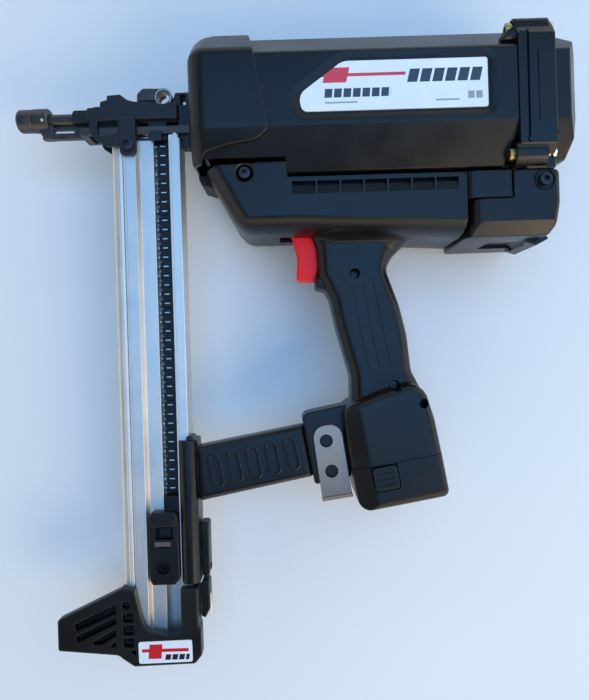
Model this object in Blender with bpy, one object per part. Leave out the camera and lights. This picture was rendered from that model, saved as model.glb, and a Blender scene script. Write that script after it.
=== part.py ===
"""Gas-actuated nail gun with a battery pack and a long nail magazine, lying on its right side.

Sizes are in millimetres in the tool's own axes, and every mesh is scaled to metres as it is made:
x runs back from the muzzle along the barrel axis, y runs from the magazine's foot towards the top of
the engine, and h runs out from the mid-plane to the tool's left side, which faces up.
"""

import math

import bmesh
import bpy
from mathutils import Matrix, Vector

MM = 0.001
GAP = 0.3  # left between pieces that touch
ARC_STEP = math.radians(31)
ROUND_SIDES = 16

# Driving dimensions.
REAR_X = 411.0
TOP_Y = 46.6
FOOT_Y = -407.0
SIDE = 53.5  # half-width of the guard and the rear flange, which the tool lies on
PROBE_TRAVEL = 15.0
STROKE = 104.0
PITCH = 7.0  # nail to nail
NAILS_PER_STRIP = 10
STRIPS = 4
WALL = 2.8

TRIGGER_PIVOT = (190.0, -91.0)
DOOR_PIVOT = (381.2, -66.7)
LATCH_PIVOT = (133.9, -344.0)
LEVER_PIVOT = (113.0, 12.5)
CLAMP_SCREW = (87.3, -24.3)
BATTERY_CORNER = (244.0, -265.5)
BATTERY_TILT = math.radians(9.5)

BLACK = (0.022, 0.024, 0.028)


# ---------------------------------------------------------------- materials and objects

def material(name, colour, roughness, metallic=0.0):
    found = bpy.data.materials.get(name)
    if found:
        return found
    made = bpy.data.materials.new(name)
    made.use_nodes = True
    shader = made.node_tree.nodes["Principled BSDF"]
    shader.inputs["Base Color"].default_value = (*colour, 1)
    shader.inputs["Roughness"].default_value = roughness
    shader.inputs["Metallic"].default_value = metallic
    made.diffuse_color = (*colour, 1)
    return made


def finishes():
    return {
        "black_plastic": material("black_plastic", BLACK, 0.5),
        "cast_black": material("cast_black", (0.03, 0.03, 0.033), 0.45, 0.6),
        "red_plastic": material("red_plastic", (0.75, 0.02, 0.02), 0.4),
        "aluminium": material("aluminium", (0.8, 0.8, 0.82), 0.3, 1.0),
        "steel": material("steel", (0.55, 0.54, 0.52), 0.25, 1.0),
        "black_steel": material("black_steel", (0.06, 0.06, 0.065), 0.35, 1.0),
        "label": material("label", (0.9, 0.9, 0.92), 0.4),
        "rubber": material("rubber", (0.02, 0.02, 0.02), 0.8),
        "circuit": material("circuit", (0.03, 0.12, 0.06), 0.5),
        "gas_can": material("gas_can", (0.75, 0.76, 0.78), 0.3, 1.0),
    }


def clear_scene():
    for obj in list(bpy.data.objects):
        bpy.data.objects.remove(obj)


def mesh_object(name, points, faces, finish="black_plastic"):
    """A closed mesh from points in millimetres, with its faces turned out."""
    mesh = bpy.data.meshes.new(name)
    mesh.from_pydata([Vector(p) * MM for p in points], [], faces)
    shell = bmesh.new()
    shell.from_mesh(mesh)
    bmesh.ops.recalc_face_normals(shell, faces=shell.faces)
    shell.to_mesh(mesh)
    shell.free()
    mesh.materials.append(FINISH[finish])
    obj = bpy.data.objects.new(name, mesh)
    bpy.context.scene.collection.objects.link(obj)
    obj.parent = TOOL
    return obj


def combine(target, tools, operation):
    """Cuts the tools from the target, or joins them to it, and deletes them."""
    for tool in tools:
        step = target.modifiers.new(operation, "BOOLEAN")
        step.operation = operation
        step.solver = "EXACT"
        step.object = tool
    graph = bpy.context.evaluated_depsgraph_get()
    mesh = bpy.data.meshes.new_from_object(target.evaluated_get(graph))
    target.modifiers.clear()
    target.data = mesh
    for tool in tools:
        bpy.data.objects.remove(tool)
    return target


def cut(target, *tools):
    return combine(target, tools, "DIFFERENCE")


def join(target, *tools):
    return combine(target, tools, "UNION")


def overlap(target, *tools):
    return combine(target, tools, "INTERSECT")


def pivot_at(obj, x, y, h=0.0):
    """Puts the object's origin on its joint's axis without moving its shape."""
    place = Vector((x, y, h)) * MM
    obj.data.transform(Matrix.Translation(-place))
    obj.location = place
    return obj


# ---------------------------------------------------------------- outlines and solids

def rounded(corners, grow=0.0):
    """Points round a polygon of (x, y, radius) corners, moved outwards by grow."""
    area = sum(a[0] * b[1] - b[0] * a[1] for a, b in zip(corners, corners[1:] + corners[:1]))
    if area < 0:
        corners = corners[::-1]
    points = []
    for i, (x, y, radius) in enumerate(corners):
        before = Vector(corners[i - 1][:2])
        after = Vector(corners[(i + 1) % len(corners)][:2])
        here = Vector((x, y))
        way_in = (here - before).normalized()
        way_out = (after - here).normalized()
        out_1 = Vector((way_in.y, -way_in.x))
        out_2 = Vector((way_out.y, -way_out.x))
        here = here + (out_1 + out_2) * grow / (1 + out_1.dot(out_2))
        if radius == 0:
            points.append(tuple(here))
            continue
        turn = math.atan2(way_in.x * way_out.y - way_in.y * way_out.x, way_in.dot(way_out))
        side = math.copysign(1, turn)
        radius = max(radius + side * grow, 0.05)
        start = here - way_in * radius * math.tan(abs(turn) / 2)
        centre = start - out_1 * side * radius
        steps = max(1, math.ceil(abs(turn) / ARC_STEP))
        arm = start - centre
        for k in range(steps + 1):
            angle = turn * k / steps
            points.append((
                centre.x + arm.x * math.cos(angle) - arm.y * math.sin(angle),
                centre.y + arm.x * math.sin(angle) + arm.y * math.cos(angle),
            ))
    return points


def loft(name, rings, finish="black_plastic"):
    """A solid through rings that have the same number of points."""
    count = len(rings[0])
    faces = [tuple(range(count))[::-1]]
    for r in range(len(rings) - 1):
        low, high = r * count, (r + 1) * count
        for k in range(count):
            nxt = (k + 1) % count
            faces.append((low + k, low + nxt, high + nxt, high + k))
    faces.append(tuple(range((len(rings) - 1) * count, len(rings) * count)))
    return mesh_object(name, [p for ring in rings for p in ring], faces, finish)


PLANES = {
    "xy": lambda u, v, w: (u, v, w),
    "yh": lambda u, v, w: (w, u, v),
    "xh": lambda u, v, w: (u, w, v),
}


def slab(name, corners, low, high, edge_low=0.0, edge_high=0.0, plane="xy",
         finish="black_plastic", steps=2, grow=0.0):
    """A polygon pulled from low to high across its plane, with rounded rims where an edge is given."""
    levels = []
    if edge_low:
        for k in range(steps + 1):
            angle = math.pi / 2 * k / steps
            levels.append((-edge_low * (1 - math.sin(angle)), low + edge_low * (1 - math.cos(angle))))
    else:
        levels.append((0.0, low))
    if edge_high:
        for k in range(steps + 1):
            angle = math.pi / 2 * k / steps
            levels.append((-edge_high * (1 - math.cos(angle)), high - edge_high * (1 - math.sin(angle))))
    else:
        levels.append((0.0, high))
    place = PLANES[plane]
    rings = [[place(u, v, w) for u, v in rounded(corners, grow + inset)] for inset, w in levels]
    return loft(name, rings, finish)


def rectangle(x0, x1, y0, y1, radius=0.0):
    return [(x0, y0, radius), (x1, y0, radius), (x1, y1, radius), (x0, y1, radius)]


def block(name, x, y, h, finish="black_plastic", radius=0.0, edge=0.0):
    """A box between (x0, x1), (y0, y1) and (h0, h1)."""
    return slab(name, rectangle(*x, *y, radius), *h, edge, edge, finish=finish)


def turned(name, profile, centre, axis="x", finish="steel", sides=ROUND_SIDES, hollow=False):
    """A round solid from (distance along the axis, radius) points. A hollow one closes on itself."""
    points, rings = [], []
    for along, radius in profile:
        start = len(points)
        count = sides if radius > 0 else 1
        for k in range(count):
            angle = math.tau * (k + 0.5) / sides
            a, b = radius * math.cos(angle), radius * math.sin(angle)
            if axis == "x":
                points.append((along, centre[0] + a, centre[1] + b))
            elif axis == "y":
                points.append((centre[0] + a, along, centre[1] + b))
            else:
                points.append((centre[0] + a, centre[1] + b, along))
        rings.append((start, count))
    pairs = list(zip(rings, rings[1:] + rings[:1])) if hollow else list(zip(rings, rings[1:]))
    faces = []
    for (low, n_low), (high, n_high) in pairs:
        for k in range(sides):
            nxt = (k + 1) % sides
            ring = [low + k % n_low, low + nxt % n_low, high + nxt % n_high, high + k % n_high]
            faces.append(tuple(dict.fromkeys(ring)))
    if not hollow:
        for start, count in (rings[0], rings[-1]):
            if count > 1:
                faces.append(tuple(range(start, start + count)))
    return mesh_object(name, points, faces, finish)


def rod(name, centre, low, high, radius, axis="h", sides=ROUND_SIDES, finish="steel"):
    return turned(name, [(low, radius), (high, radius)], centre, axis, finish, sides)


def ring(name, centre, low, high, outer, inner, axis="x", sides=ROUND_SIDES, finish="steel"):
    profile = [(low, outer), (high, outer), (high, inner), (low, inner)]
    return turned(name, profile, centre, axis, finish, sides, hollow=True)


def screw(name, centre, seat, head_radius, head_height, shank_radius, shank_length, axis="h", way=1):
    """A cap screw whose head stands on seat and points along way, with a blind socket in it."""
    socket = head_radius * 0.5
    floor = seat + way * head_height * 0.35
    profile = [
        (seat - way * shank_length, 0), (seat - way * shank_length, shank_radius),
        (seat, shank_radius), (seat, head_radius), (seat + way * head_height, head_radius),
        (seat + way * head_height, socket), (floor, socket), (floor, 0),
    ]
    return turned(name, profile, centre, axis, "black_steel", 10)


def coil(name, centre, low, high, radius, wire, turns, finish="steel", steps=12, sides=5):
    """A compression spring along x."""
    count = turns * steps
    rings = []
    for k in range(count + 1):
        angle = math.tau * k / steps
        x = low + wire + (high - low - 2 * wire) * k / count
        outward = Vector((0, math.cos(angle), math.sin(angle)))
        middle = Vector((x, centre[0], centre[1])) + outward * radius
        rings.append([
            tuple(middle + outward * wire * math.cos(t) + Vector((wire * math.sin(t), 0, 0)))
            for t in (math.tau * s / sides for s in range(sides))
        ])
    return loft(name, rings, finish)


# ---------------------------------------------------------------- casings

ENGINE_SIDE = [(43.0, 27, 6), (22.5, 50, 6), (-28, 50, 5), (-58.5, 43, 3)]  # y, h, radius
COVER_X = (140.5, 361.6)


def engine_body(name, x0, x1, grow):
    """The cover's outer form between two stations, grown or shrunk evenly."""
    corners = ENGINE_SIDE + [(y, -h, r) for y, h, r in ENGINE_SIDE[::-1]]
    return slab(name, corners, x0, x1, plane="yh", grow=grow)


LABEL_RECESS = [(214, -19.5, 6), (343, -19.5, 3), (343, 16.5, 3), (243, 16.5, 14), (212, -6, 10)]


def engine_cover():
    cover = engine_body("engine_cover", *COVER_X, 0)
    recess = slab("recess", LABEL_RECESS, 49.2, 60)
    notch = block("notch", (100, 203.2), (-70, -47.4), (-60, 60))
    pockets = [rod("pocket", (y, h), 350, 370, 6.3, "x", 14) for y, h in LOWER_LUGS]
    return cut(cover, engine_body("bore", 100, 400, -WALL), notch, recess, *pockets)


def side_label():
    return slab("side_label", LABEL_RECESS, 49.5, 50.1, finish="label", grow=-1.2)


GUARD_OUTLINE = [
    (138, -49.5, 3), (146, -49.5, 2), (147.5, -43, 5), (163, -39, 12), (184, -36, 5),
    (193, -30, 5), (179.5, TOP_Y - 0.6, 2), (137.5, TOP_Y - 0.6, 17),
]


def front_guard():
    guard = slab("front_guard", GUARD_OUTLINE, -SIDE, SIDE)
    overlap(guard, engine_body("form", 120, 210, SIDE - 50))
    inside = engine_body("inside", 140.2, 210, GAP + 0.1)
    mouth = rod("mouth", (0, 0), 120, 150, 30, "x")
    return cut(guard, inside, mouth)


UPPER_LUGS = [(39.3, 41), (39.3, -41)]
LOWER_LUGS = [(-45.5, 46), (-45.5, -46)]
FLANGE_X = (362.0, 390.0)


def rear_flange():
    right = [(TOP_Y - 0.8, 28, 5), (24, SIDE - 1.5, 5), (-29, SIDE - 1.5, 5), (-55.3, 45, 4)]
    corners = right + [(y, -h, r) for y, h, r in right[::-1]]
    flange = slab("rear_flange", corners, *FLANGE_X, 1, 1.5, "yh")
    for y, h in UPPER_LUGS + LOWER_LUGS:
        join(flange, rod("lug", (y, h), FLANGE_X[0], FLANGE_X[1] - 3, 7.5, "x", 14))
    holes = [rod("hole", c, 340, 420, 2.8, "x", 12) for c in UPPER_LUGS + LOWER_LUGS]
    seat = rod("seat", (0, 0), 340, 420, 38.6, "x", 28)
    groove = cut(
        slab("groove", corners, 371.5, 373, plane="yh", grow=6),
        slab("core", corners, 370, 375, plane="yh", grow=-1.2),
    )
    rest = block("rest", (300, 420), (-90, 90), (-90, 90))
    cut(rest, block("span", (290, 430), (-100, 100), (-SIDE, SIDE)))
    return cut(flange, seat, groove, rest, *holes)


CAP_OUTLINE = [
    (390.3, -54, 0), (397, -54, 3), (407, -42, 6), (REAR_X, -21, 10), (REAR_X, 8, 10),
    (408, 30, 6), (396, 37.5, 3), (390.3, 37.5, 0),
]
CAP_PLAN = [
    (390.3, -43, 0), (398, -43, 5), (REAR_X, -30, 6), (REAR_X, 30, 6), (398, 43, 5), (390.3, 43, 0),
]


def rear_cap():
    """The end bell, tapered in both views."""
    cap = slab("rear_cap", CAP_OUTLINE, -45, 45)
    overlap(cap, slab("plan", CAP_PLAN, -60, 50, plane="xh"))
    room = slab("room", CAP_OUTLINE, -45, 45, grow=-2.6)
    overlap(room, slab("plan", CAP_PLAN, -60, 50, plane="xh", grow=-2.6))
    mouth = slab("mouth", rectangle(-49, 34, -39, 39, 8), 380, 396, plane="yh")
    return cut(cap, room, mouth)


HOUSING_BODY = [
    (358.3, -59.2, 1), (203.6, -59.2, 1.5), (203.6, -48, 1.5), (145, -50.2, 2),
    (164.5, -88, 8), (172, -98.6, 14), (206, -99.2, 1), (225, -99.2, 0), (240, -103, 0),
    (290, -104.6, 8), (327.9, -108.3, 2), (327.9, -78.2, 1), (358.3, -78.2, 1),
]
GRIP = [
    (217, -84, 0), (223.5, -106, 8), (224.5, -125, 6), (233, -143, 10), (236.8, -163, 30),
    (246.5, -200, 8), (246, -226, 0), (300, -226, 0), (298, -210, 10), (291.5, -197, 12),
    (289, -170, 40), (284, -148, 30), (275, -122, 12), (287, -84, 0),
]
GRIP_ROOM = [
    (221, -88, 0), (228, -112, 8), (241, -163, 30), (250.5, -200, 8), (250, -222, 0), (296, -222, 0),
    (287, -196, 12), (285, -170, 30), (280, -150, 20), (271, -121, 10), (281, -88, 0),
]
GUARD_LIP = [(222.5, -126, 0), (222.2, -133.6, 2), (229, -135.4, 4), (236, -140, 0), (236, -126, 0)]
BASE = [
    (238.5, -222, 10), (244.2, -265, 1), (308.4, -254.3, 1), (304.2, -231, 20),
    (298.6, -212, 12), (289, -204, 10), (263, -212, 8),
]
TAB = [(213, -228.4, 2), (217, -225.4, 2), (250, -219, 0), (250, -240, 0), (243.2, -262, 0),
       (243.4, -276, 2), (221, -279, 2)]
GRIP_HALF, BASE_HALF, BODY_HALF, TAB_HALF = 18.0, 32.0, 42.0, 13.0
SCREW_TOP = (251.2, -124.7)
SCREW_BOTTOM = (277.6, -207.0)
SCREW_FRONT = (174.5, -55.8)
HOOK_HOLES = [(226.8, -246.5), (230.2, -268.8)]


def mirrored(low, high, side):
    """The span from low to high on the left side (1) or on the right (-1)."""
    return (low, high) if side > 0 else (-high, -low)


def half_slab(name, corners, low, high, edge, side, grow=0.0):
    span = mirrored(low, high, side)
    rims = (0, edge) if side > 0 else (edge, 0)
    return slab(name, corners, *span, *rims, grow=grow)


def stepped_hole(centre, end, floor, wide, side):
    """A clearance hole for a shank, opening out for the screw's head."""
    profile = [(end, 0), (end, 2.6), (floor, 2.6), (floor, wide), (60, wide), (60, 0)]
    return turned("hole", [(along * side, radius) for along, radius in profile], centre, "h", sides=14)


def housing_half(name, side):
    """One clamshell half: engine cradle, grip and battery socket as one moulding."""
    seam = GAP / 2
    shell = half_slab(name, HOUSING_BODY, seam, BODY_HALF, 7, side)
    join(
        shell,
        half_slab("grip", GRIP, seam, GRIP_HALF, 9, side),
        half_slab("base", BASE, seam, BASE_HALF, 8, side),
        half_slab("tab", TAB, seam, TAB_HALF, 1.5, side),
        half_slab("lip", GUARD_LIP, seam, 14, 2, side),
    )
    cut(
        shell,
        half_slab("body_room", HOUSING_BODY, -1, BODY_HALF - WALL, 5, side, -WALL),
        half_slab("grip_room", GRIP_ROOM, -1, GRIP_HALF - WALL, 7, side),
        half_slab("base_room", BASE, -1, BASE_HALF - WALL, 6, side, -WALL),
    )
    mouth = [(248, -258, 0), (249, -275, 0), (308, -268, 0), (304, -249, 0)]
    cradle = block("cradle", (150, 352), (-63, -40), mirrored(-1, 38.5, side))
    trigger_slot = block("trigger_slot", (186, 236), (-128.2, -85), mirrored(-1, 9.7, side))
    rear_mouth = block("rear_mouth", (320, 364), (-105, -64.5), mirrored(-1, 38.5, side))
    cut(
        shell, cradle, trigger_slot, rear_mouth,
        half_slab("mouth", mouth, -1, BASE_HALF - WALL, 6, side),
    )
    bosses = [
        rod("boss", SCREW_TOP, *mirrored(seam, GRIP_HALF - 1, side), 5.5, sides=14),
        rod("boss", SCREW_BOTTOM, *mirrored(seam, GRIP_HALF - 1, side), 5.5, sides=14),
        rod("boss", TRIGGER_PIVOT, *mirrored(10, BODY_HALF - 1, side), 4.5, sides=14),
        block("ear_root", (340, 357.5), (-73, -60.5), mirrored(31, 41, side)),
        slab("ear", [(350, -72, 0), (388.4, -72, 7), (388.4, -61.4, 3), (350, -61.4, 0)],
             *mirrored(31, 38.2, side)),
        block("vent_wall", (203.8, 325), (-72.5, -60), mirrored(BODY_HALF - 6.5, BODY_HALF - 2, side)),
    ]
    for boss in bosses:
        join(shell, boss)
    cutters = [
        rod("hole", TRIGGER_PIVOT, -20, 20, 2.25, sides=12),
        rod("hole", DOOR_PIVOT, *mirrored(20, 60, side), 2.7, sides=12),
    ]
    for k in range(7):
        x = 208 + k * 16.3
        slot = rectangle(x, x + 13.5, -70.6, -64.6)
        cutters.append(slab("vent", slot, *mirrored(BODY_HALF - 3.8, BODY_HALF + 2, side)))
    for centre, end, floor, wide in (
        (SCREW_TOP, -2, 8.0, 3.9), (SCREW_BOTTOM, -2, 11.5, 3.9), (SCREW_FRONT, 20, 37.0, 5.6),
    ):
        cutters.append(stepped_hole(centre, end, floor, wide, side))
    cutters.append(rod("eye", (297, -219.4), *mirrored(12, 60, side), 3.7, sides=16))
    if side > 0:
        cutters += [stepped_hole(centre, 3, 9, 4.8, side) for centre in HOOK_HOLES]
    return cut(shell, *cutters)


def front_bumper():
    """The soft lip between the guard and the cradle's slanted front."""
    outline = [(140.5, -51, 1.5), (144.2, -51, 1.5), (152.8, -68, 1.5), (148.5, -66, 1.5)]
    return slab("front_bumper", outline, -19, 19, 1, 1, finish="rubber")


DOOR = [
    (360.2, -59.6, 3), (392.2, -59.6, 10), (393, -80, 12), (391.5, -102.5, 9), (383.5, -109, 5),
    (330, -109, 3), (328.5, -78.8, 1), (360.2, -78.8, 1),
]


def gas_door():
    door = slab("gas_door", DOOR, -BODY_HALF, BODY_HALF, 7, 7, steps=3)
    room = slab("room", DOOR, -BODY_HALF + 2.6, BODY_HALF - 2.6, 5, 5, grow=-2.4)
    front = block("front", (320, 345), (-106.4, -60), (-39.4, 39.4))
    roof = block("roof", (344, 389.6), (-84, -50), (-39.4, 39.4))
    tail = block("tail", (385, 400), (-74, -50), (-30, 30))
    tab = slab("tab", [(372, -106, 0), (388, -104, 2), (391, -107.5, 1.5), (384, -111, 1.5)], -14, 14)
    hole = [rod("hole", DOOR_PIVOT, *mirrored(30, 60, side), 6.2, sides=16) for side in (1, -1)]
    cut(door, room, front, roof, tail, *hole)
    join(door, tab)
    for side in (1, -1):
        web = ring("web", DOOR_PIVOT, *mirrored(38.9, 41, side), 6.6, 2.9, "h", 16)
        join(door, web)
    return pivot_at(door, *DOOR_PIVOT)


# ---------------------------------------------------------------- nose and drive

RAIL_H = (7.5, 10.5)
BAR_Y = (-15.8, -9.8)


def probe():
    """The work contact: a collar round the guide tube, and a bar that forks into two rails."""
    profile = [(0, 7.3), (1.2, 8.5), (11, 8.5), (11.6, 8.1), (12.2, 8.8), (24.6, 8.8), (24.6, 4.9), (0, 4.9)]
    collar = turned("probe", profile, (0, 0), finish="black_steel", hollow=True)
    join(
        collar,
        block("lug", (15, 24), (-15.5, -3.5), (-6, 6)),
        block("bar", (18, 57), BAR_Y, (-5, 5)),
        block("fork", (51, 57), BAR_Y, (-RAIL_H[1], RAIL_H[1])),
    )
    for side in (1, -1):
        join(collar, block("rail", (54, 142), (-15.5, -10), mirrored(*RAIL_H, side)))
    return cut(collar, rod("bore", (0, 0), -5, 30, 4.9, "x"))


def guide_tube():
    return ring("guide_tube", (0, 0), 17.5, 57, 4.5, 3.7, finish="steel", sides=16)


NOSE_SPINE = [
    (41.6, -8.2, 1), (75, -8.6, 1), (76, -18.7, 1), (131, -18.7, 1), (134, -14, 1), (162, -14, 0),
    (162, 8, 0), (134, 8, 0), (134, 16, 1), (122, 16, 1), (119, 8, 0), (57, 7.2, 1), (41.6, 8.2, 1),
]
NOSE_PLATE = [
    (57, -4.9, 1), (57, 4.4, 1), (66.6, 4.8, 0.5), (67, 8.8, 0.5), (72, 10, 0.5), (72, 13.2, 0.5),
    (81.8, 13.8, 1), (87.3, 9.6, 1), (92, 8.2, 1), (124, 6.8, 1), (124, -4.9, 1),
]
NOSE_CHEEK = [
    (58, -4, 0), (60.4, -15.2, 1), (62, -18.6, 1), (72, -25.2, 1), (81, -25.2, 0), (81.2, -32.2, 4),
    (93.6, -32.2, 4), (93.6, -18, 0), (119, -18, 1), (119, -4, 0),
]


def nose_body():
    """The cast nose: a spine under the fork, a toothed plate, and two cheeks that clamp the magazine."""
    nose = slab("nose_body", NOSE_SPINE, -7, 7, finish="cast_black")
    join(nose, slab("plate", NOSE_PLATE, -12, 12, 1, 1))
    for side in (1, -1):
        cheek = slab("cheek", NOSE_CHEEK, *mirrored(11, 13.6, side))
        window = rectangle(65, 80, -17, -6, 1)
        port = rectangle(94, 117.5, -16.8, -5.2, 1)
        cut(cheek, slab("window", window, -20, 20), slab("port", port, -20, 20))
        join(nose, cheek)
    join(nose, rod("boss", (0, 0), 160.8, 164.0, 24, "x"))
    return cut(
        nose, rod("bore", (0, 0), 30, 57.3, 4.8, "x", 16), rod("barrel", (0, 0), 50, 200, 3.8, "x", 16),
        block("nail_slot", (84.6, 123), (-40, 0), (-3.9, 3.9)),
        rod("screw_hole", CLAMP_SCREW, 5, 30, 2.7, sides=12),
        rod("lever_seat", LEVER_PIVOT, -20, 20, 7.1),
    )


def release_lever():
    """The locking lever over the nose, with an eye at its pivot."""
    arm = [(93, 9.9, 1), (93, 16, 2), (96.5, 20.4, 2), (113, 19.6, 2), (113, 9.9, 0)]
    lever = slab("release_lever", arm, -7, 7, 1, 1, finish="black_steel")
    join(lever, rod("eye", LEVER_PIVOT, -8, 8, 6.6, sides=18))
    cut(lever, rod("hole", LEVER_PIVOT, -20, 20, 4.9, sides=18))
    return pivot_at(lever, *LEVER_PIVOT)


def actuator():
    """The yoke behind the nose and the two bars that push the chamber sleeve back."""
    yoke = ring("actuator", (0, 0), 142.3, 145.3, 36.5, 8.5, finish="steel")
    cut(yoke, block("gate", (130, 150), (-14.4, 26), (-7.4, 7.4)))
    for side in (1, -1):
        join(yoke, block("bar", (143, 257.7), (-6, 6), mirrored(33, 36, side)))
    return yoke


def chamber_sleeve():
    profile = [(258, 38), (346, 38), (346, 35.5), (262, 35.5), (262, 22.6), (258, 22.6)]
    return turned("chamber_sleeve", profile, (0, 0), finish="aluminium", sides=28, hollow=True)


def cylinder():
    profile = [(164.3, 22), (196, 22), (196, 31.5), (200, 31.5), (200, 22), (286, 22), (286, 19), (164.3, 19)]
    return turned("cylinder", profile, (0, 0), finish="steel", sides=24, hollow=True)


def cylinder_head():
    head = turned("cylinder_head", [(356, 0), (356, 35), (366, 35), (366, 38), (371, 38), (371, 0)],
                  (0, 0), finish="aluminium", sides=28)
    return cut(head, rod("shaft_hole", (0, 0), 350, 380, 2.4, "x", 12),
               rod("plug_hole", (22, 0), 350, 380, 4.5, "x", 14))


def spark_plug():
    profile = [(350, 0), (350, 1.2), (354, 1.2), (354, 4), (374, 4), (374, 5.5), (379, 5.5), (379, 3),
               (388, 3), (388, 0)]
    return turned("spark_plug", profile, (22, 0), finish="steel", sides=12)


def fan():
    """The mixing fan in the combustion chamber, with its shaft."""
    hub = turned("fan", [(336, 0), (336, 6), (345, 6), (345, 1.6), (371, 1.6), (371, 0)], (0, 0), sides=12)
    for k in range(4):
        blade = block("blade", (338, 340.2), (4, 27), (-6, 6), radius=0)
        blade.data.transform(Matrix.Rotation(math.radians(32), 4, "Y"))
        middle = Matrix.Translation(Vector((340 * MM, 0, 0)))
        shift = Matrix.Translation(Vector((-(339 * MM) * math.cos(math.radians(32)), 0, 339 * MM * math.sin(
            math.radians(32)))))
        blade.data.transform(middle @ Matrix.Rotation(math.tau * k / 4, 4, "X") @ shift)
        join(hub, blade)
    return pivot_at(hub, 340, 0)


def piston():
    profile = [(272, 0), (272, 16), (274, 18.6), (284, 18.6), (284, 12), (280, 9), (280, 0)]
    head = turned("piston", profile, (0, 0), finish="aluminium", sides=24)
    return cut(head, rod("socket", (0, 0), 260, 277.4, 3.6, "x", 14))


def engine_parts():
    ring("bumper", (0, 0), 164.6, 167.8, 18.6, 6, finish="rubber")
    piston()
    rod("driver_blade", (0, 0), 126, 277, 3.2, "x", 14, "steel")
    cylinder()
    cylinder_head()
    spark_plug()
    rod("fan_motor", (0, 0), 371.4, 398, 12.5, "x", 16, "steel")
    fan()
    chamber_sleeve()
    coil("chamber_spring", (0, 0), 145.7, 195.6, 28.6, 1.2, 5, steps=16)


# ---------------------------------------------------------------- magazine

MAG_TOP, MAG_END = -19.3, -396.0
CHANNEL = [
    (82.4, -10.5, 0), (125, -10.5, 0), (125, 10.5, 0), (116.5, 10.5, 0), (116.5, 3.9, 0), (122.4, 3.9, 0),
    (122.4, -3.9, 0), (86, -3.9, 0), (86, 3.9, 0), (104.5, 3.9, 0), (104.5, 6.5, 0), (94, 6.5, 0),
    (91.8, 10.5, 0), (82.4, 10.5, 0),
]


def magazine():
    channel = slab("magazine_channel", CHANNEL, MAG_END, MAG_TOP, plane="xh", finish="aluminium")
    cut(channel, rod("screw_hole", CLAMP_SCREW, 4, 30, 2.7, sides=12))
    ridge = [(73.8, -6, 3), (82, -9.5, 1), (82, 9.5, 1), (73.8, 9, 3)]
    slab("magazine_front_rail", ridge, MAG_END, MAG_TOP - 1, plane="xh", finish="aluminium")


def nail_strip(number):
    """Ten nails in their plastic collation, as one solid."""
    first = -7.9 - PITCH * NAILS_PER_STRIP * number
    last = first - PITCH * (NAILS_PER_STRIP - 1)
    strip = block(f"nail_strip_{number + 1}", (106, 115.4), (last - 3.3, first + 3.3), (-2.7, 2.7), "black_plastic")
    for k in range(NAILS_PER_STRIP):
        y = first - PITCH * k
        profile = [(88, 0), (91, 1.3), (119.4, 1.3), (119.4, 3.0), (121.2, 3.0), (121.2, 0)]
        join(strip, turned("nail", profile, (y, 0), finish="steel", sides=6))
    return strip


def pusher():
    """The follower: a slider over the channel's recess, with a tongue that pushes the last nail."""
    slider = block("pusher", (94.3, 116.1), (-349.5, -300), (7, 13.6), radius=1.5)
    join(slider, block("hood", (95, 115.6), (-306, -295.5), (7, 16), radius=1.5))
    join(slider, block("tongue", (105.4, 115.6), (-345, -285.2), (-3.4, 8)))
    return cut(
        slider,
        block("recess", (100, 113), (-319, -308.5), (10.5, 20)),
        block("slot", (99, 112), (-329.5, -325), (12, 20)),
        rod("hole", (104.3, -338), 9.5, 30, 4.9, sides=16),
    )


def pusher_spring():
    return ring("pusher_spring", (95.9, -330), -3.1, 3.1, 8.6, 4.6, "h", finish="steel")


FOOT_OUTLINE = [
    (72.4, -350, 2), (72.4, -400.4, 1), (82, FOOT_Y, 3), (126.5, FOOT_Y + 1, 4),
    (132.3, -399, 4), (132.8, -384, 3), (129.8, -378, 2), (129.8, -351, 1), (84, -351, 2),
]
FOOT_WING = [(26.5, -371.6, 3), (26.5, -394, 2), (70, -398.5, 3), (76, -402, 0), (76, -350, 0), (74, -350, 2)]
FOOT_CUP = [
    (83.2, -340, 0), (83.6, -354, 3), (87, -370, 10), (91, -381.5, 8), (104, -384.6, 6),
    (117.2, -384.6, 2), (117.2, -340, 0),
]
WING_SLOTS = [
    [(39.3, -374.6, 1), (39.7, -380.1, 1), (70, -367.7, 1), (69.5, -360.7, 1)],
    [(39.6, -383.8, 1), (40.6, -388.3, 1), (69.8, -375.1, 1), (70, -369.6, 1)],
    [(49.6, -389.6, 1), (57.9, -390.3, 1), (69.5, -383.6, 1), (69.7, -378.4, 1)],
]
FOOT_HALF = 18.0


def foot():
    """The magazine's end cap with its pocketed stabiliser wing."""
    cap = slab("foot", FOOT_OUTLINE, -FOOT_HALF, FOOT_HALF, 1.5, 1.5)
    join(cap, slab("wing", FOOT_WING, 9.5, FOOT_HALF, 1, 1.5))
    tunnel = block("tunnel", (73.4, 125.4), (-396.4, -340), (-10.9, 10.9))
    pockets = [slab("slot", s, 11.5, 30) for s in WING_SLOTS]
    for high, low in ((-367.3, -374.5), (-376.0, -383.8), (-385.6, -392.5)):
        pockets.append(block("pocket", (74.6, 82.2), (low, high), (13, 30)))
    return cut(cap, tunnel, slab("cup", FOOT_CUP, -30, 30), *pockets)


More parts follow.
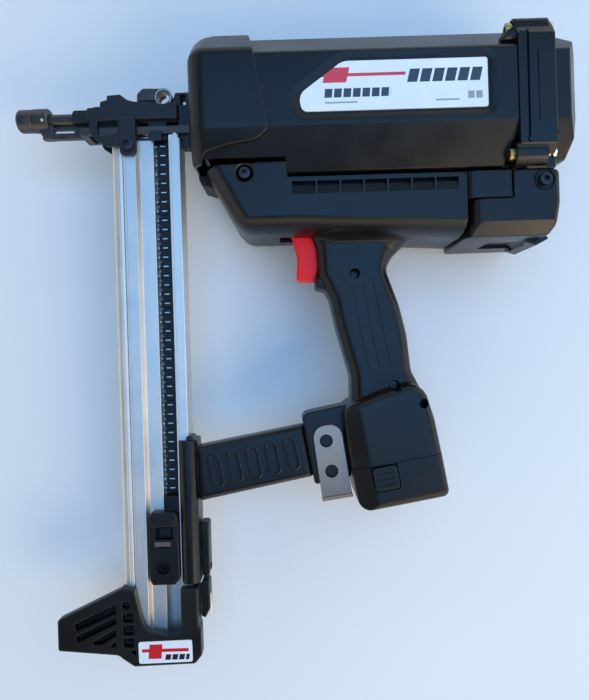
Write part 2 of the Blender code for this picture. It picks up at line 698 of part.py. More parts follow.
def bridge():
    """The arm that ties the magazine to the battery socket, with its sleeve round the rear rail."""
    arm = [(129.5, -249.2, 2), (131, -290, 3), (217.6, -273.6, 3), (210.9, -235, 2)]
    body = slab("bridge", arm, -12, 12, 3, 3)
    sleeve = rectangle(117.2, 131, -15.2, 15.2, 3)
    join(body, slab("sleeve", sleeve, -349.3, -243.5, plane="xh"))
    ovals = []
    for side in (1, -1):
        for k in range(5):
            x, y = 144.8 + 14.1 * k, -266.6 + 2.7 * k
            lean = 2.2
            oval = [(x - 3.4 - lean, y + 11, 3.2), (x + 3.4 - lean, y + 11, 3.2),
                    (x + 3.4 + lean, y - 11, 3.2), (x - 3.4 + lean, y - 11, 3.2)]
            ovals.append(slab("oval", oval, *mirrored(10.8, 20, side)))
    return cut(body, block("rail_way", (100, 125.4), (-360, -230), (-10.9, 10.9)), *ovals)


def magazine_latch():
    """The finger lever on the back of the sleeve, and the hook that holds the foot."""
    lever = slab("magazine_latch", [(131.5, -306, 1), (137.4, -306, 2), (137.4, -346.4, 3.4), (131.5, -346.4, 2.4)],
                 -9, 9, 1, 1)
    clip = slab("latch_hook", [(130.2, -352, 1), (131.4, -349.6, 0), (136.6, -349.6, 2), (136.6, -371, 2),
                               (133, -378, 1), (130.2, -376.5, 1)], -8, 8, 1, 1)
    knuckle = block("knuckle", (132, 136), (-352, -342.2), (-3, 3))
    join(clip, knuckle)
    cut(lever, block("gap", (120, 150), (-353, -338.6), (-3.4, 3.4)))
    for part in (lever, clip):
        cut(part, rod("hole", LATCH_PIVOT, -20, 20, 1.4, sides=10))
        pivot_at(part, *LATCH_PIVOT)


# ---------------------------------------------------------------- grip, battery and small parts

def on_battery(u, v, radius=0.0):
    """A point u along the battery's top edge and v down from it."""
    x = BATTERY_CORNER[0] + u * math.cos(BATTERY_TILT) + v * math.sin(BATTERY_TILT)
    y = BATTERY_CORNER[1] + u * math.sin(BATTERY_TILT) - v * math.cos(BATTERY_TILT)
    return (x, y, radius)


def battery_box(u, v, radius=0.0):
    return [on_battery(u[0], v[0], radius), on_battery(u[1], v[0], radius),
            on_battery(u[1], v[1], radius), on_battery(u[0], v[1], radius)]


BATTERY_WIDTH, BATTERY_DEPTH = 65.0, 31.5
BUTTON_U, BUTTON_V = (13.5, 31.0), (1.5, 18.0)


def battery():
    outline = [on_battery(0, 0.5, 1), on_battery(BATTERY_WIDTH, 0.5, 1),
               on_battery(BATTERY_WIDTH, BATTERY_DEPTH, 5), on_battery(0, BATTERY_DEPTH, 9)]
    case = slab("battery_case", outline, -BASE_HALF, BASE_HALF, 7, 7, steps=3)
    pockets = [slab("pocket", battery_box(BUTTON_U, BUTTON_V, 3), *mirrored(27.4, 40, side), grow=0.4)
               for side in (1, -1)]
    cut(case, slab("room", battery_box((3, 62), (-10, 28)), -26, 26), *pockets)
    lid = slab("battery_lid", battery_box((3.4, 61.6), (0.5, 3)), -25.6, 25.6)
    join(lid, slab("tower", battery_box((20, 46), (-22, 1)), -12, 12, 1, 1))
    slab("battery_cells", battery_box((4, 61), (3.5, 27.5), 6), -25.4, 25.4, finish="circuit")
    for side, word in ((1, "left"), (-1, "right")):
        button = slab(f"battery_button_{word}", battery_box(BUTTON_U, BUTTON_V, 2.6),
                      *mirrored(29.9, 33.4, side), 0.6, 0.6)
        ribs = [slab("rib", battery_box((BUTTON_U[0] + 3, BUTTON_U[1] - 3), (v, v + 2)),
                     *mirrored(32.8, 40, side)) for v in (4.5, 8.7, 12.9)]
        cut(button, *ribs)


def trigger():
    outline = [
        (206.6, -99.8, 1), (210.2, -111, 18), (208.2, -127.3, 3), (222, -127.3, 2), (225.8, -111, 14),
        (222, -98, 2), (222, -90, 1), (207, -90, 3), (196, -87.4, 2), (186.6, -87.4, 3),
        (186.6, -94.6, 3), (197, -94.6, 2), (204, -96, 1),
    ]
    lever = slab("trigger", outline, -9, 9, 2, 2, finish="red_plastic")
    cut(lever, rod("hole", TRIGGER_PIVOT, -20, 20, 2.25, sides=12))
    return pivot_at(lever, *TRIGGER_PIVOT)


def hook_plate():
    """The bright bracket on the battery socket's tab, with a short turned-out lip."""
    outline = [(216.6, -236.5, 9), (237.6, -233.6, 9), (244.6, -285.0, 0.8), (222.6, -288.0, 0.8)]
    plate = slab("hook_plate", outline, TAB_HALF + GAP, TAB_HALF + 2.3, finish="steel")
    lip = [(222.6, -288.0, 0.3), (244.6, -285.0, 0.3), (244.9, -286.9, 0.3), (222.9, -289.9, 0.3)]
    join(plate, slab("lip", lip, TAB_HALF + GAP, TAB_HALF + 6, grow=0.15, finish="steel"))
    return cut(plate, *[rod("hole", c, 5, 30, 4.8, sides=20) for c in HOOK_HOLES])


def gas_cell():
    profile = [(252, 0), (252, 9), (262, 9), (262, 3), (268, 3), (268, 12), (272, 16), (372, 16),
               (374, 14), (374, 0)]
    return turned("gas_cell", profile, (-84, 0), finish="gas_can", sides=20)


def trigger_spring():
    return coil("trigger_spring", (-112, 0), 226.3, 238.6, 2.6, 0.45, 4, steps=10)


def small_parts():
    side_label()
    hook_plate()
    gas_cell()
    block("ignition_module", (198, 250), (-84.5, -63.6), (-22, 22), "circuit", 1)
    block("trigger_switch", (239, 262), (-118.7, -101), (-8, 8), "black_plastic", 1)
    rod("trigger_pin", TRIGGER_PIVOT, -19.5, 19.5, 2.0, sides=12)
    trigger_spring()
    for number, (y, h) in enumerate(UPPER_LUGS + LOWER_LUGS, 1):
        screw(f"flange_screw_{number}", (y, h), 361.7, 4.5, 5, 2.4, 28.2, "x", -1)
    screw("nose_screw", CLAMP_SCREW, 13.9, 4.9, 3.4, 2.3, 9.5)
    for side, word in ((1, "left"), (-1, "right")):
        screw(f"door_screw_{word}", DOOR_PIVOT, side * 41.3, 4.9, 3, 2.35, 9, way=side)
    screw("front_screw", SCREW_FRONT, 37.3, 4.9, 4.2, 2.3, 14)
    screw("grip_screw_top", SCREW_TOP, 8.3, 3.4, 3, 2.3, 17)
    screw("grip_screw_bottom", SCREW_BOTTOM, 11.8, 3.4, 3, 2.3, 21)
    for number, centre in enumerate(HOOK_HOLES, 1):
        profile = [(3.5, 0), (3.5, 2.2), (9.3, 2.2), (9.3, 4.5), (13.8, 4.5), (14.1, 4.2), (14.1, 0)]
        turned(f"hook_stud_{number}", profile, centre, "h", "black_plastic", 14)


def build():
    engine_cover()
    front_guard()
    rear_flange()
    rear_cap()
    housing_half("housing_left", 1)
    housing_half("housing_right", -1)
    front_bumper()
    gas_door()
    probe()
    guide_tube()
    nose_body()
    release_lever()
    actuator()
    engine_parts()
    magazine()
    for number in range(STRIPS):
        nail_strip(number)
    pusher()
    pusher_spring()
    foot()
    bridge()
    magazine_latch()
    battery()
    trigger()
    small_parts()


def shade():
    for obj in bpy.data.objects:
        if obj.type == "MESH":
            obj.data.shade_smooth()
            obj.data.set_sharp_from_angle(angle=math.radians(30))


clear_scene()
FINISH = finishes()
TOOL = bpy.data.objects.new("tool", None)
bpy.context.scene.collection.objects.link(TOOL)
TOOL.location = Vector((-REAR_X / 2, -(TOP_Y + FOOT_Y) / 2, SIDE)) * MM
build()
shade()
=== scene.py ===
"""The visible model of the nail gun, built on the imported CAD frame.

Shapes are given in millimetres in the tool's own axes, as in the CAD source: x runs back from the muzzle
along the barrel, y from the magazine's foot to the top of the engine, h from the mid-plane to the side
that faces up. ORIGIN is where the three axes meet in the frame.
"""

import math

import bmesh
import bpy
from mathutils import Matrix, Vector


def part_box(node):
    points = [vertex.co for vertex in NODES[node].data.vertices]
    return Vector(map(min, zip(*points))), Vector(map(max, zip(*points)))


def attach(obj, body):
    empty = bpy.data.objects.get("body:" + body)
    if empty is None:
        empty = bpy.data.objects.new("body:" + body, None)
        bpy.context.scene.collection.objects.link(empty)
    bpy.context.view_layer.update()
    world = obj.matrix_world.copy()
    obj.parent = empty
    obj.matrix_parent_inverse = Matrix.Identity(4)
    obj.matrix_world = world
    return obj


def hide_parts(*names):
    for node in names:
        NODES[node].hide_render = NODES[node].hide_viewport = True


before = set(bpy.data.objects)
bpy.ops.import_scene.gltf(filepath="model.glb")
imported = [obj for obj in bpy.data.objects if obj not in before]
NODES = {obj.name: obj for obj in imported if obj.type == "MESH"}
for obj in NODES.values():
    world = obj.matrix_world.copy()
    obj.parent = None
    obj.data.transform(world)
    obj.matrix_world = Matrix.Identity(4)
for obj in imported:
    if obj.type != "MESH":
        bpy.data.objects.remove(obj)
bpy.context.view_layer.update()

MM = 0.001
ARC_STEP = math.radians(7)
INKED_SHARE = 0.8
SOCKET_SHARE = 0.52
OBJECT_COORDINATES = 3  # output of the texture coordinate node
TUBE_LOW, TUBE_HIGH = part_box("guide_tube")
ORIGIN = Vector((TUBE_LOW.x - 17.5 * MM, (TUBE_LOW.y + TUBE_HIGH.y) / 2, (TUBE_LOW.z + TUBE_HIGH.z) / 2))

TOP_Y, FOOT_Y, SIDE, REAR_X, WALL, PITCH = 46.6, -407.0, 53.5, 411.0, 2.8, 7.0
TRIGGER_PIVOT = (190.0, -91.0)
DOOR_PIVOT = (381.2, -66.7)
LATCH_PIVOT = (133.9, -344.0)
LEVER_PIVOT = (113.0, 12.5)
CLAMP_SCREW = (87.3, -24.3)
BATTERY_CORNER = (244.0, -265.5)
BATTERY_TILT = math.radians(9.5)


# --- camera and light

CAMERA_AT = (205.5, -179.15, 448.0)
CAMERA_ROLL = math.radians(-1.7)
LENS, SENSOR = 30.34, 36


def area_light(name, at, aim, size, power, colour):
    lamp = bpy.data.lights.new(name, "AREA")
    lamp.shape = "RECTANGLE"
    lamp.size, lamp.size_y = size
    lamp.energy = power
    lamp.color = colour
    obj = bpy.data.objects.new(name, lamp)
    obj.location = at
    obj.rotation_euler = (Vector(aim) - Vector(at)).to_track_quat("-Z", "Y").to_euler()
    bpy.context.scene.collection.objects.link(obj)


def studio():
    view = bpy.data.cameras.new("camera")
    view.lens, view.sensor_width = LENS, SENSOR
    view.clip_start = 0.01
    camera = bpy.data.objects.new("camera", view)
    camera.location = ORIGIN + Vector(CAMERA_AT) * MM
    camera.rotation_euler = (0, 0, CAMERA_ROLL)
    bpy.context.scene.collection.objects.link(camera)
    bpy.context.scene.camera = camera
    area_light("sky", (0.25, 0.25, 1.5), (0.25, 0.25, 0), (1.6, 1.35), 16.0, (0.20, 0.51, 1.0))
    area_light("warm", (1.0, -1.15, 1.4), (0.1, 0, 0), (1.0, 0.8), 11.0, (1.0, 0.80, 0.55))
    bpy.context.scene.view_settings.view_transform = "Standard"
    bpy.context.scene.world = surroundings()


# --- materials

class Nodes:
    """A node tree with a few short ways to add to it."""

    def __init__(self, tree):
        self.nodes, self.links = tree.nodes, tree.links

    def feed(self, socket, value):
        if isinstance(value, bpy.types.NodeSocket):
            self.links.new(value, socket)
        else:
            socket.default_value = value

    def node(self, kind, out=0, settings=None, **inputs):
        made = self.nodes.new(kind)
        for key, value in (settings or {}).items():
            setattr(made, key, value)
        for key, value in inputs.items():
            self.feed(made.inputs[int(key[1:]) if key[0] == "_" else key], value)
        return made.outputs[out]

    def math(self, operation, a, b=0.0):
        return self.node("ShaderNodeMath", 0, {"operation": operation}, _0=a, _1=b)

    def span(self, value, low, high, to_low, to_high):
        return self.node("ShaderNodeMapRange", _0=value, _1=low, _2=high, _3=to_low, _4=to_high)

    def ramp(self, value, *stops):
        made = self.nodes.new("ShaderNodeValToRGB")
        self.feed(made.inputs[0], value)
        band = made.color_ramp
        while len(band.elements) < len(stops):
            band.elements.new(0.5)
        for element, (position, colour) in zip(band.elements, stops):
            element.position = position
            element.color = (*colour, 1)
        return made.outputs[0]

    def mix(self, amount, *colours):
        below, above = (c if isinstance(c, bpy.types.NodeSocket) else (*c, 1) for c in colours)
        return self.node("ShaderNodeMix", 2, {"data_type": "RGBA"}, _0=amount, _6=below, _7=above)


class Paint(Nodes):
    """A node material."""

    def __init__(self, name, colour, roughness, metallic=0.0, **sockets):
        self.material = bpy.data.materials.new(name)
        self.material.use_nodes = True
        super().__init__(self.material.node_tree)
        self.set("Base Color", (*colour, 1))
        self.set("Roughness", roughness)
        self.set("Metallic", metallic)
        for key, value in sockets.items():
            self.set(key.replace("_", " "), value)

    def set(self, socket, value):
        self.feed(self.nodes["Principled BSDF"].inputs[socket], value)

    def spot(self, stretch=(1, 1, 1)):
        where = self.node("ShaderNodeTexCoord", OBJECT_COORDINATES)
        return self.node("ShaderNodeMapping", Vector=where, Scale=Vector(stretch))

    def noise(self, size, stretch=(1, 1, 1), detail=2.0):
        """Noise with features of about this size in millimetres."""
        return self.node("ShaderNodeTexNoise", Vector=self.spot(stretch), Scale=1000.0 / size, Detail=detail)

    def bump(self, height, depth, strength=1.0, under=None):
        inputs = {"Height": height, "Distance": depth * MM, "Strength": strength}
        if under:
            inputs["Normal"] = under
        return self.node("ShaderNodeBump", **inputs)


def surroundings():
    """Plain light from the sides, warmer towards the foot, stronger towards the rear and dim overhead."""
    world = bpy.data.worlds.new("studio")
    world.use_nodes = True
    tree = Nodes(world.node_tree)
    generated = tree.node("ShaderNodeTexCoord")
    x, y, z = tree.node("ShaderNodeSeparateXYZ", Vector=generated).node.outputs
    level = tree.node("ShaderNodeMath", 0, {"operation": "MULTIPLY_ADD"}, _0=tree.span(y, -0.9, 0.9, 1.4, 1.1),
                      _1=tree.span(z, 0.45, 0.8, 1.0, 0.0), _2=0.03)
    background = tree.nodes["Background"].inputs
    tint = tree.mix(tree.span(y, -0.8, 0.8, 0.0, 1.0), (1.0, 0.93, 0.80), (0.80, 0.93, 1.0))
    tree.feed(background["Color"], tint)
    tree.feed(background["Strength"], tree.math("MULTIPLY", level, tree.span(x, -0.7, 0.7, 0.7, 1.3)))
    return world


def tinted(colour, by):
    return tuple(min(1.0, c * by) for c in colour)


def plastic(name, colour, roughness, grain=0.45, depth=0.05, spread=0.08, gloss=0.36):
    """Moulded plastic: a spark-eroded grain, and slow changes of gloss from mould flow and handling."""
    paint = Paint(name, colour, roughness, Specular_IOR_Level=gloss)
    slow = paint.noise(38, detail=4)
    fine = paint.noise(grain, detail=3)
    specks = paint.noise(grain * 3.1, detail=2)
    paint.set("Base Color", paint.ramp(slow, (0.3, tinted(colour, 0.85)), (0.7, tinted(colour, 1.2))))
    paint.set("Roughness", paint.span(slow, 0.25, 0.75, roughness - spread, roughness + spread))
    paint.set("Normal", paint.bump(fine, depth, 0.7, paint.bump(specks, depth * 1.3, 0.5)))
    return paint.material


def metal(name, colour, roughness, grain=0.3, stretch=(1, 1, 1), depth=0.01, spread=0.08, tarnish=0.85):
    """Worked metal: fine marks drawn out along one axis, and slow tarnish."""
    paint = Paint(name, colour, roughness, 1.0)
    slow = paint.noise(24, detail=5)
    marks = paint.noise(grain, stretch, detail=3)
    both = paint.math("ADD", paint.math("MULTIPLY", slow, 0.5), paint.math("MULTIPLY", marks, 0.5))
    paint.set("Base Color", paint.ramp(both, (0.35, tinted(colour, tarnish)), (0.65, colour)))
    paint.set("Roughness", paint.span(both, 0.3, 0.7, roughness - spread, roughness + spread))
    paint.set("Normal", paint.bump(marks, depth, 0.8))
    return paint.material


def rod_steel(name, colour, roughness, rust=(0.10, 0.06, 0.035), amount=0.5):
    """Oiled black or blued steel with brown bloom in patches and bright rubbed spots."""
    paint = Paint(name, colour, roughness, 0.85)
    patches = paint.noise(5.5, detail=6)
    fine = paint.noise(0.35, detail=3)
    bloom = paint.span(patches, 0.52, 0.68, 0.0, amount)
    oiled = paint.ramp(fine, (0.3, tinted(colour, 0.75)), (0.7, colour))
    paint.set("Base Color", paint.mix(bloom, oiled, rust))
    paint.set("Roughness", paint.span(patches, 0.3, 0.7, roughness - 0.08, roughness + 0.14))
    paint.set("Normal", paint.bump(fine, 0.02, 0.7))
    return paint.material


def box_mask(paint, x, y, low, high, slant=0.0, comb=0.0):
    """1 inside a rectangle of the tool's x and y, whose ends lean by slant, cut into blocks by comb."""
    rise = paint.math("SUBTRACT", y, (low[1] + high[1]) / 2)
    leant = paint.math("ADD", x, paint.math("MULTIPLY", rise, slant))
    tests = [paint.math("GREATER_THAN", leant, low[0]), paint.math("LESS_THAN", leant, high[0]),
             paint.math("GREATER_THAN", y, low[1]), paint.math("LESS_THAN", y, high[1])]
    if comb:
        step = paint.math("FRACT", paint.math("DIVIDE", paint.math("SUBTRACT", leant, low[0]), comb))
        tests.append(paint.math("LESS_THAN", step, INKED_SHARE))
    inside = tests[0]
    for test in tests[1:]:
        inside = paint.math("MULTIPLY", inside, test)
    return inside


def printed(name, bars):
    """Gloss film printed with plain bars: (low corner, high corner, slant, colour) in tool millimetres."""
    paint = Paint(name, (0.82, 0.88, 0.95), 0.22, Coat_Weight=0.5, Coat_Roughness=0.08)
    where = paint.node("ShaderNodeTexCoord", OBJECT_COORDINATES)
    axes = paint.node("ShaderNodeSeparateXYZ", Vector=where).node.outputs
    x, y = (paint.math("MULTIPLY", paint.math("SUBTRACT", axes[k], ORIGIN[k]), 1000) for k in (0, 1))
    slow = paint.noise(30, detail=3)
    colour = paint.ramp(slow, (0.3, (0.74, 0.80, 0.88)), (0.7, (0.86, 0.90, 0.94)))
    for low, high, slant, comb, ink in bars:
        colour = paint.mix(box_mask(paint, x, y, low, high, slant, comb), colour, ink)
    paint.set("Base Color", colour)
    paint.set("Normal", paint.bump(paint.noise(1.6, detail=3), 0.02, 0.3))
    return paint.material


RED_INK, DARK_INK, GREY_INK = (0.62, 0.02, 0.03), (0.02, 0.022, 0.03), (0.3, 0.31, 0.33)


def circuit():
    paint = Paint("potting", (0.02, 0.06, 0.045), 0.45)
    lines = paint.node("ShaderNodeTexBrick", 1, Vector=paint.spot(), Scale=140.0)
    paint.set("Base Color", paint.mix(lines, (0.015, 0.07, 0.045), (0.09, 0.16, 0.1)))
    paint.set("Normal", paint.bump(paint.noise(1.2), 0.04, 0.5))
    return paint.material


def materials():
    black = (0.0036, 0.0038, 0.0045)
    along_y = (1, 0.03, 1)
    along_x = (0.04, 1, 1)
    return {
        "plastic": plastic("moulded_black", black, 0.31),
        "smooth": plastic("smooth_black", black, 0.4, 0.8, 0.03),
        "grip": plastic("grip_black", (0.0032, 0.0034, 0.004), 0.34, 0.6, 0.05),
        "matt": plastic("matt_black", (0.0025, 0.0025, 0.0028), 0.42, 0.5, 0.05),
        "red": plastic("moulded_red", (0.98, 0.018, 0.02), 0.36, 0.5, 0.03, gloss=0.2),
        "rubber": plastic("rubber_black", (0.008, 0.0075, 0.0075), 0.62, 0.3, 0.06),
        "cast": rod_steel("cast_black_coat", (0.045, 0.046, 0.05), 0.42, (0.07, 0.055, 0.04), 0.35),
        "blued": rod_steel("blued_steel", (0.09, 0.085, 0.085), 0.36, (0.16, 0.095, 0.06), 0.6),
        "screw": rod_steel("black_oxide", (0.05, 0.052, 0.06), 0.34, (0.05, 0.04, 0.035), 0.2),
        "aluminium": metal("drawn_aluminium", (0.86, 0.80, 0.74), 0.48, 0.5, along_y, 0.012, 0.06, 0.9),
        "turned_aluminium": metal("turned_aluminium", (0.72, 0.74, 0.77), 0.3, 0.25, along_x),
        "steel": metal("ground_steel", (0.56, 0.55, 0.54), 0.26, 0.3, along_x, 0.008),
        # Nickel plate whose base colour is tinted warm brown, a painted warm reflection on the plating
        "nickel": metal("nickel_painted_warm_reflection", (0.50, 0.29, 0.20), 0.30, 0.8, (1, 1, 1), 0.02, 0.07, 0.92),
        "brass": metal("brass_plate", (0.50, 0.34, 0.13), 0.3),
        "ring": metal("worn_ring", (0.42, 0.36, 0.31), 0.24),
        "nail": metal("nail_wire", (0.95, 0.92, 0.86), 0.34, 0.4),
        "gas": metal("gas_can_tin", (0.74, 0.75, 0.78), 0.24, 0.3, along_x, 0.006),
        "circuit": circuit(),
        "label": printed("side_print", [
            ((222, 4.6), (286, 6.8), -0.25, 0, RED_INK),
            ((231, 0.6), (247, 10.8), -0.25, 0, RED_INK),
            ((288, -0.4), (339, 8.6), -0.25, 8.5, DARK_INK),
            ((231, -9.4), (276, -3.4), -0.1, 6.4, DARK_INK),
            ((231, -13.4), (253, -12.3), 0.0, 0, GREY_INK),
            ((306, -13.4), (322, -12.3), 0.0, 0, GREY_INK),
            ((328, -12.4), (338, -7.4), 0.0, 5.4, GREY_INK),
        ]),
        "foot_label": printed("foot_print", [
            ((88, -396.2), (122, -393.8), -0.1, 0, RED_INK),
            ((93, -401), (102.5, -390.6), -0.1, 0, RED_INK),
            ((105, -402), (122.5, -398), -0.2, 5.0, DARK_INK),
        ]),
    }


# --- objects

def mesh_object(name, points, faces):
    mesh = bpy.data.meshes.new(name)
    mesh.from_pydata([ORIGIN + Vector(p) * MM for p in points], [], faces)
    shell = bmesh.new()
    shell.from_mesh(mesh)
    bmesh.ops.recalc_face_normals(shell, faces=shell.faces)
    shell.to_mesh(mesh)
    shell.free()
    obj = bpy.data.objects.new(name, mesh)
    bpy.context.scene.collection.objects.link(obj)
    return obj


def applied(obj):
    """Keeps what the object's modifiers make."""
    graph = bpy.context.evaluated_depsgraph_get()
    mesh = bpy.data.meshes.new_from_object(obj.evaluated_get(graph))
    obj.modifiers.clear()
    before, obj.data = obj.data, mesh
    bpy.data.meshes.remove(before)
    return obj


def combine(target, tools, operation):
    for tool in tools:
        step = target.modifiers.new(operation, "BOOLEAN")
        step.operation = operation
        step.solver = "MANIFOLD"
        step.object = tool
    applied(target)
    for tool in tools:
        mesh = tool.data
        bpy.data.objects.remove(tool)
        bpy.data.meshes.remove(mesh)
    if not target.data.polygons:
        raise ValueError(f"{target.name} is empty after {operation}")
    return target


def cut(target, *tools):
    return combine(target, tools, "DIFFERENCE")


def join(target, *tools):
    return combine(target, tools, "UNION")


def overlap(target, *tools):
    return combine(target, tools, "INTERSECT")


def soften(obj, voxel, rounds, keep=0.3):
    """Rounds every edge a little, as a mould or casting does."""
    coarse = 1.0
    step = obj.modifiers.new("even", "REMESH")
    step.mode = "VOXEL"
    step.voxel_size = voxel * MM * coarse
    step = obj.modifiers.new("round", "SMOOTH")
    step.factor = 0.5
    step.iterations = rounds
    step = obj.modifiers.new("thin", "DECIMATE")
    step.ratio = keep
    return applied(obj)


def copied(obj, name):
    twin = bpy.data.objects.new(name, obj.data.copy())
    bpy.context.scene.collection.objects.link(twin)
    return twin


def piece(obj, finish, body, slot, *nodes, sharp=38):
    """Shades a finished mesh, puts it on its body and hides the CAD nodes it stands for."""
    obj.data.materials.clear()
    obj.data.materials.append(MATERIALS[finish])
    for face in obj.data.polygons:
        face.material_index = 0
    obj.data.shade_smooth()
    obj.data.set_sharp_from_angle(angle=math.radians(sharp))
    step = obj.modifiers.new("even_shading", "WEIGHTED_NORMAL")
    step.keep_sharp = True
    applied(obj)
    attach(obj, body)
    if nodes:
        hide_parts(*nodes)
    return obj


def dress(finish, *nodes):
    """Gives CAD nodes that stay as they are a finished material."""
    for name in nodes:
        obj = NODES[name]
        for place in obj.material_slots:
            place.material = MATERIALS[finish]


# --- outlines and solids

def rounded(corners, grow=0.0):
    """Points round a polygon of (x, y, radius) corners, moved outwards by grow."""
    area = sum(a[0] * b[1] - b[0] * a[1] for a, b in zip(corners, corners[1:] + corners[:1]))
    if area < 0:
        corners = corners[::-1]
    points = []
    for i, (x, y, radius) in enumerate(corners):
        before = Vector(corners[i - 1][:2])
        after = Vector(corners[(i + 1) % len(corners)][:2])
        here = Vector((x, y))
        way_in = (here - before).normalized()
        way_out = (after - here).normalized()
        out_1 = Vector((way_in.y, -way_in.x))
        out_2 = Vector((way_out.y, -way_out.x))
        here = here + (out_1 + out_2) * grow / (1 + out_1.dot(out_2))
        if radius == 0:
            points.append(tuple(here))
            continue
        turn = math.atan2(way_in.x * way_out.y - way_in.y * way_out.x, way_in.dot(way_out))
        side = math.copysign(1, turn)
        radius = max(radius + side * grow, 0.05)
        start = here - way_in * radius * math.tan(abs(turn) / 2)
        centre = start - out_1 * side * radius
        steps = max(1, math.ceil(abs(turn) / ARC_STEP))
        arm = start - centre
        for k in range(steps + 1):
            angle = turn * k / steps
            points.append((
                centre.x + arm.x * math.cos(angle) - arm.y * math.sin(angle),
                centre.y + arm.x * math.sin(angle) + arm.y * math.cos(angle),
            ))
    return points


def loft(name, rings):
    """A solid through rings that have the same number of points."""
    count = len(rings[0])
    faces = [tuple(range(count))[::-1]]
    for r in range(len(rings) - 1):
        low, high = r * count, (r + 1) * count
        for k in range(count):
            nxt = (k + 1) % count
            faces.append((low + k, low + nxt, high + nxt, high + k))
    faces.append(tuple(range((len(rings) - 1) * count, len(rings) * count)))
    return mesh_object(name, [p for ring in rings for p in ring], faces)


PLANES = {
    "xy": lambda u, v, w: (u, v, w),
    "yh": lambda u, v, w: (w, u, v),
    "xh": lambda u, v, w: (u, w, v),
}


def slab(name, corners, low, high, edge_low=0.0, edge_high=0.0, plane="xy", steps=5, grow=0.0, rise=1.0):
    """A polygon pulled from low to high across its plane, with rounded rims where an edge is given."""
    levels = []
    if edge_low:
        for k in range(steps + 1):
            angle = math.pi / 2 * k / steps
            levels.append((-edge_low * (1 - math.sin(angle)), low + edge_low * rise * (1 - math.cos(angle))))
    else:
        levels.append((0.0, low))
    if edge_high:
        for k in range(steps + 1):
            angle = math.pi / 2 * k / steps
            levels.append((-edge_high * (1 - math.cos(angle)), high - edge_high * rise * (1 - math.sin(angle))))
    else:
        levels.append((0.0, high))
    place = PLANES[plane]
    rings = [[place(u, v, w) for u, v in rounded(corners, grow + inset)] for inset, w in levels]
    return loft(name, rings)


def rectangle(x0, x1, y0, y1, radius=0.0):
    return [(x0, y0, radius), (x1, y0, radius), (x1, y1, radius), (x0, y1, radius)]


def block(name, x, y, h, radius=0.0, edge=0.0):
    return slab(name, rectangle(*x, *y, radius), *h, edge, edge)


def turned(name, profile, centre, axis="x", sides=40, hollow=False):
    """A round solid from (distance along the axis, radius) points. A hollow one closes on itself."""
    points, rings = [], []
    for along, radius in profile:
        start = len(points)
        count = sides if radius > 0 else 1
        for k in range(count):
            angle = math.tau * (k + 0.5) / sides
            a, b = radius * math.cos(angle), radius * math.sin(angle)
            if axis == "x":
                points.append((along, centre[0] + a, centre[1] + b))
            elif axis == "y":
                points.append((centre[0] + a, along, centre[1] + b))
            else:
                points.append((centre[0] + a, centre[1] + b, along))
        rings.append((start, count))
    pairs = list(zip(rings, rings[1:] + rings[:1])) if hollow else list(zip(rings, rings[1:]))
    faces = []
    for (low, n_low), (high, n_high) in pairs:
        for k in range(sides):
            nxt = (k + 1) % sides
            ring = [low + k % n_low, low + nxt % n_low, high + nxt % n_high, high + k % n_high]
            faces.append(tuple(dict.fromkeys(ring)))
    if not hollow:
        for start, count in (rings[0], rings[-1]):
            if count > 1:
                faces.append(tuple(range(start, start + count)))
    return mesh_object(name, points, faces)


def rod(name, centre, low, high, radius, axis="h", sides=40):
    return turned(name, [(low, radius), (high, radius)], centre, axis, sides)


def ring(name, centre, low, high, outer, inner, axis="x", sides=40):
    profile = [(low, outer), (high, outer), (high, inner), (low, inner)]
    return turned(name, profile, centre, axis, sides, hollow=True)


def cap_screw(name, centre, seat, head_radius, head_height, shank_radius, shank_length, axis="h", way=1):
    """A cap screw with a chamfered head and a hexagon socket."""
    top = seat + way * head_height
    rim = min(0.9, head_radius * 0.2)
    profile = [
        (seat - way * shank_length, 0), (seat - way * shank_length, shank_radius),
        (seat, shank_radius), (seat, head_radius - 0.2), (seat + way * 0.2, head_radius),
        (top - way * rim, head_radius), (top - way * rim * 0.3, head_radius - rim * 0.35),
        (top, head_radius - rim), (top, 0),
    ]
    made = turned(name, profile, centre, axis, 32)
    low, high = sorted((seat + way * head_height * 0.3, top + way))
    return cut(made, rod("socket", centre, low, high, head_radius * SOCKET_SHARE, axis, 6))


def band(points, width):
    """An outline of even width along a polyline."""
    left, right = [], []
    for i, here in enumerate(points):
        before = Vector(points[max(i - 1, 0)])
        after = Vector(points[min(i + 1, len(points) - 1)])
        way = (after - before).normalized() * width / 2
        left.append((here[0] - way.y, here[1] + way.x, 0))
        right.append((here[0] + way.y, here[1] - way.x, 0))
    return left + right[::-1]


def both_sides(low, high):
    return ((low, high), (-high, -low))


def twins(make, name, shape, low, high, *rest, **more):
    """The same solid on either side of the mid-plane."""
    return [make(name, shape, *span, *rest, **more) for span in both_sides(low, high)]


def twin_blocks(name, x, y, low, high, *rest):
    return [block(name, x, y, span, *rest) for span in both_sides(low, high)]


def across(name, profile, centre, side):
    """A round solid across the tool, given for the upper side, or mirrored to the lower one by side -1."""
    return turned(name, [(side * along, radius) for along, radius in profile], centre, "h")


def mirrored(corners):
    """A whole section from the corners of its upper half."""
    return corners + [(u, -h, radius) for u, h, radius in corners[::-1]]


def moulding(obj, finish, node, body="frame"):
    piece(obj, finish, body, "black_plastic", node)


# --- engine casing

ENGINE_SIDE = [(43.0, 27, 6), (22.5, 50, 4), (-27, 50, 3), (-56.8, 36.5, 4)]  # y, h, radius
COVER_X = (140.5, 361.6)
UPPER_LUGS = [(36.2, 42.5), (36.2, -42.5)]
LOWER_LUGS = [(-49.6, 42.8), (-49.6, -42.8)]
LABEL_RECESS = [(214, -19.5, 6), (343, -19.5, 3), (343, 16.5, 3), (243, 16.5, 14), (212, -6, 10)]


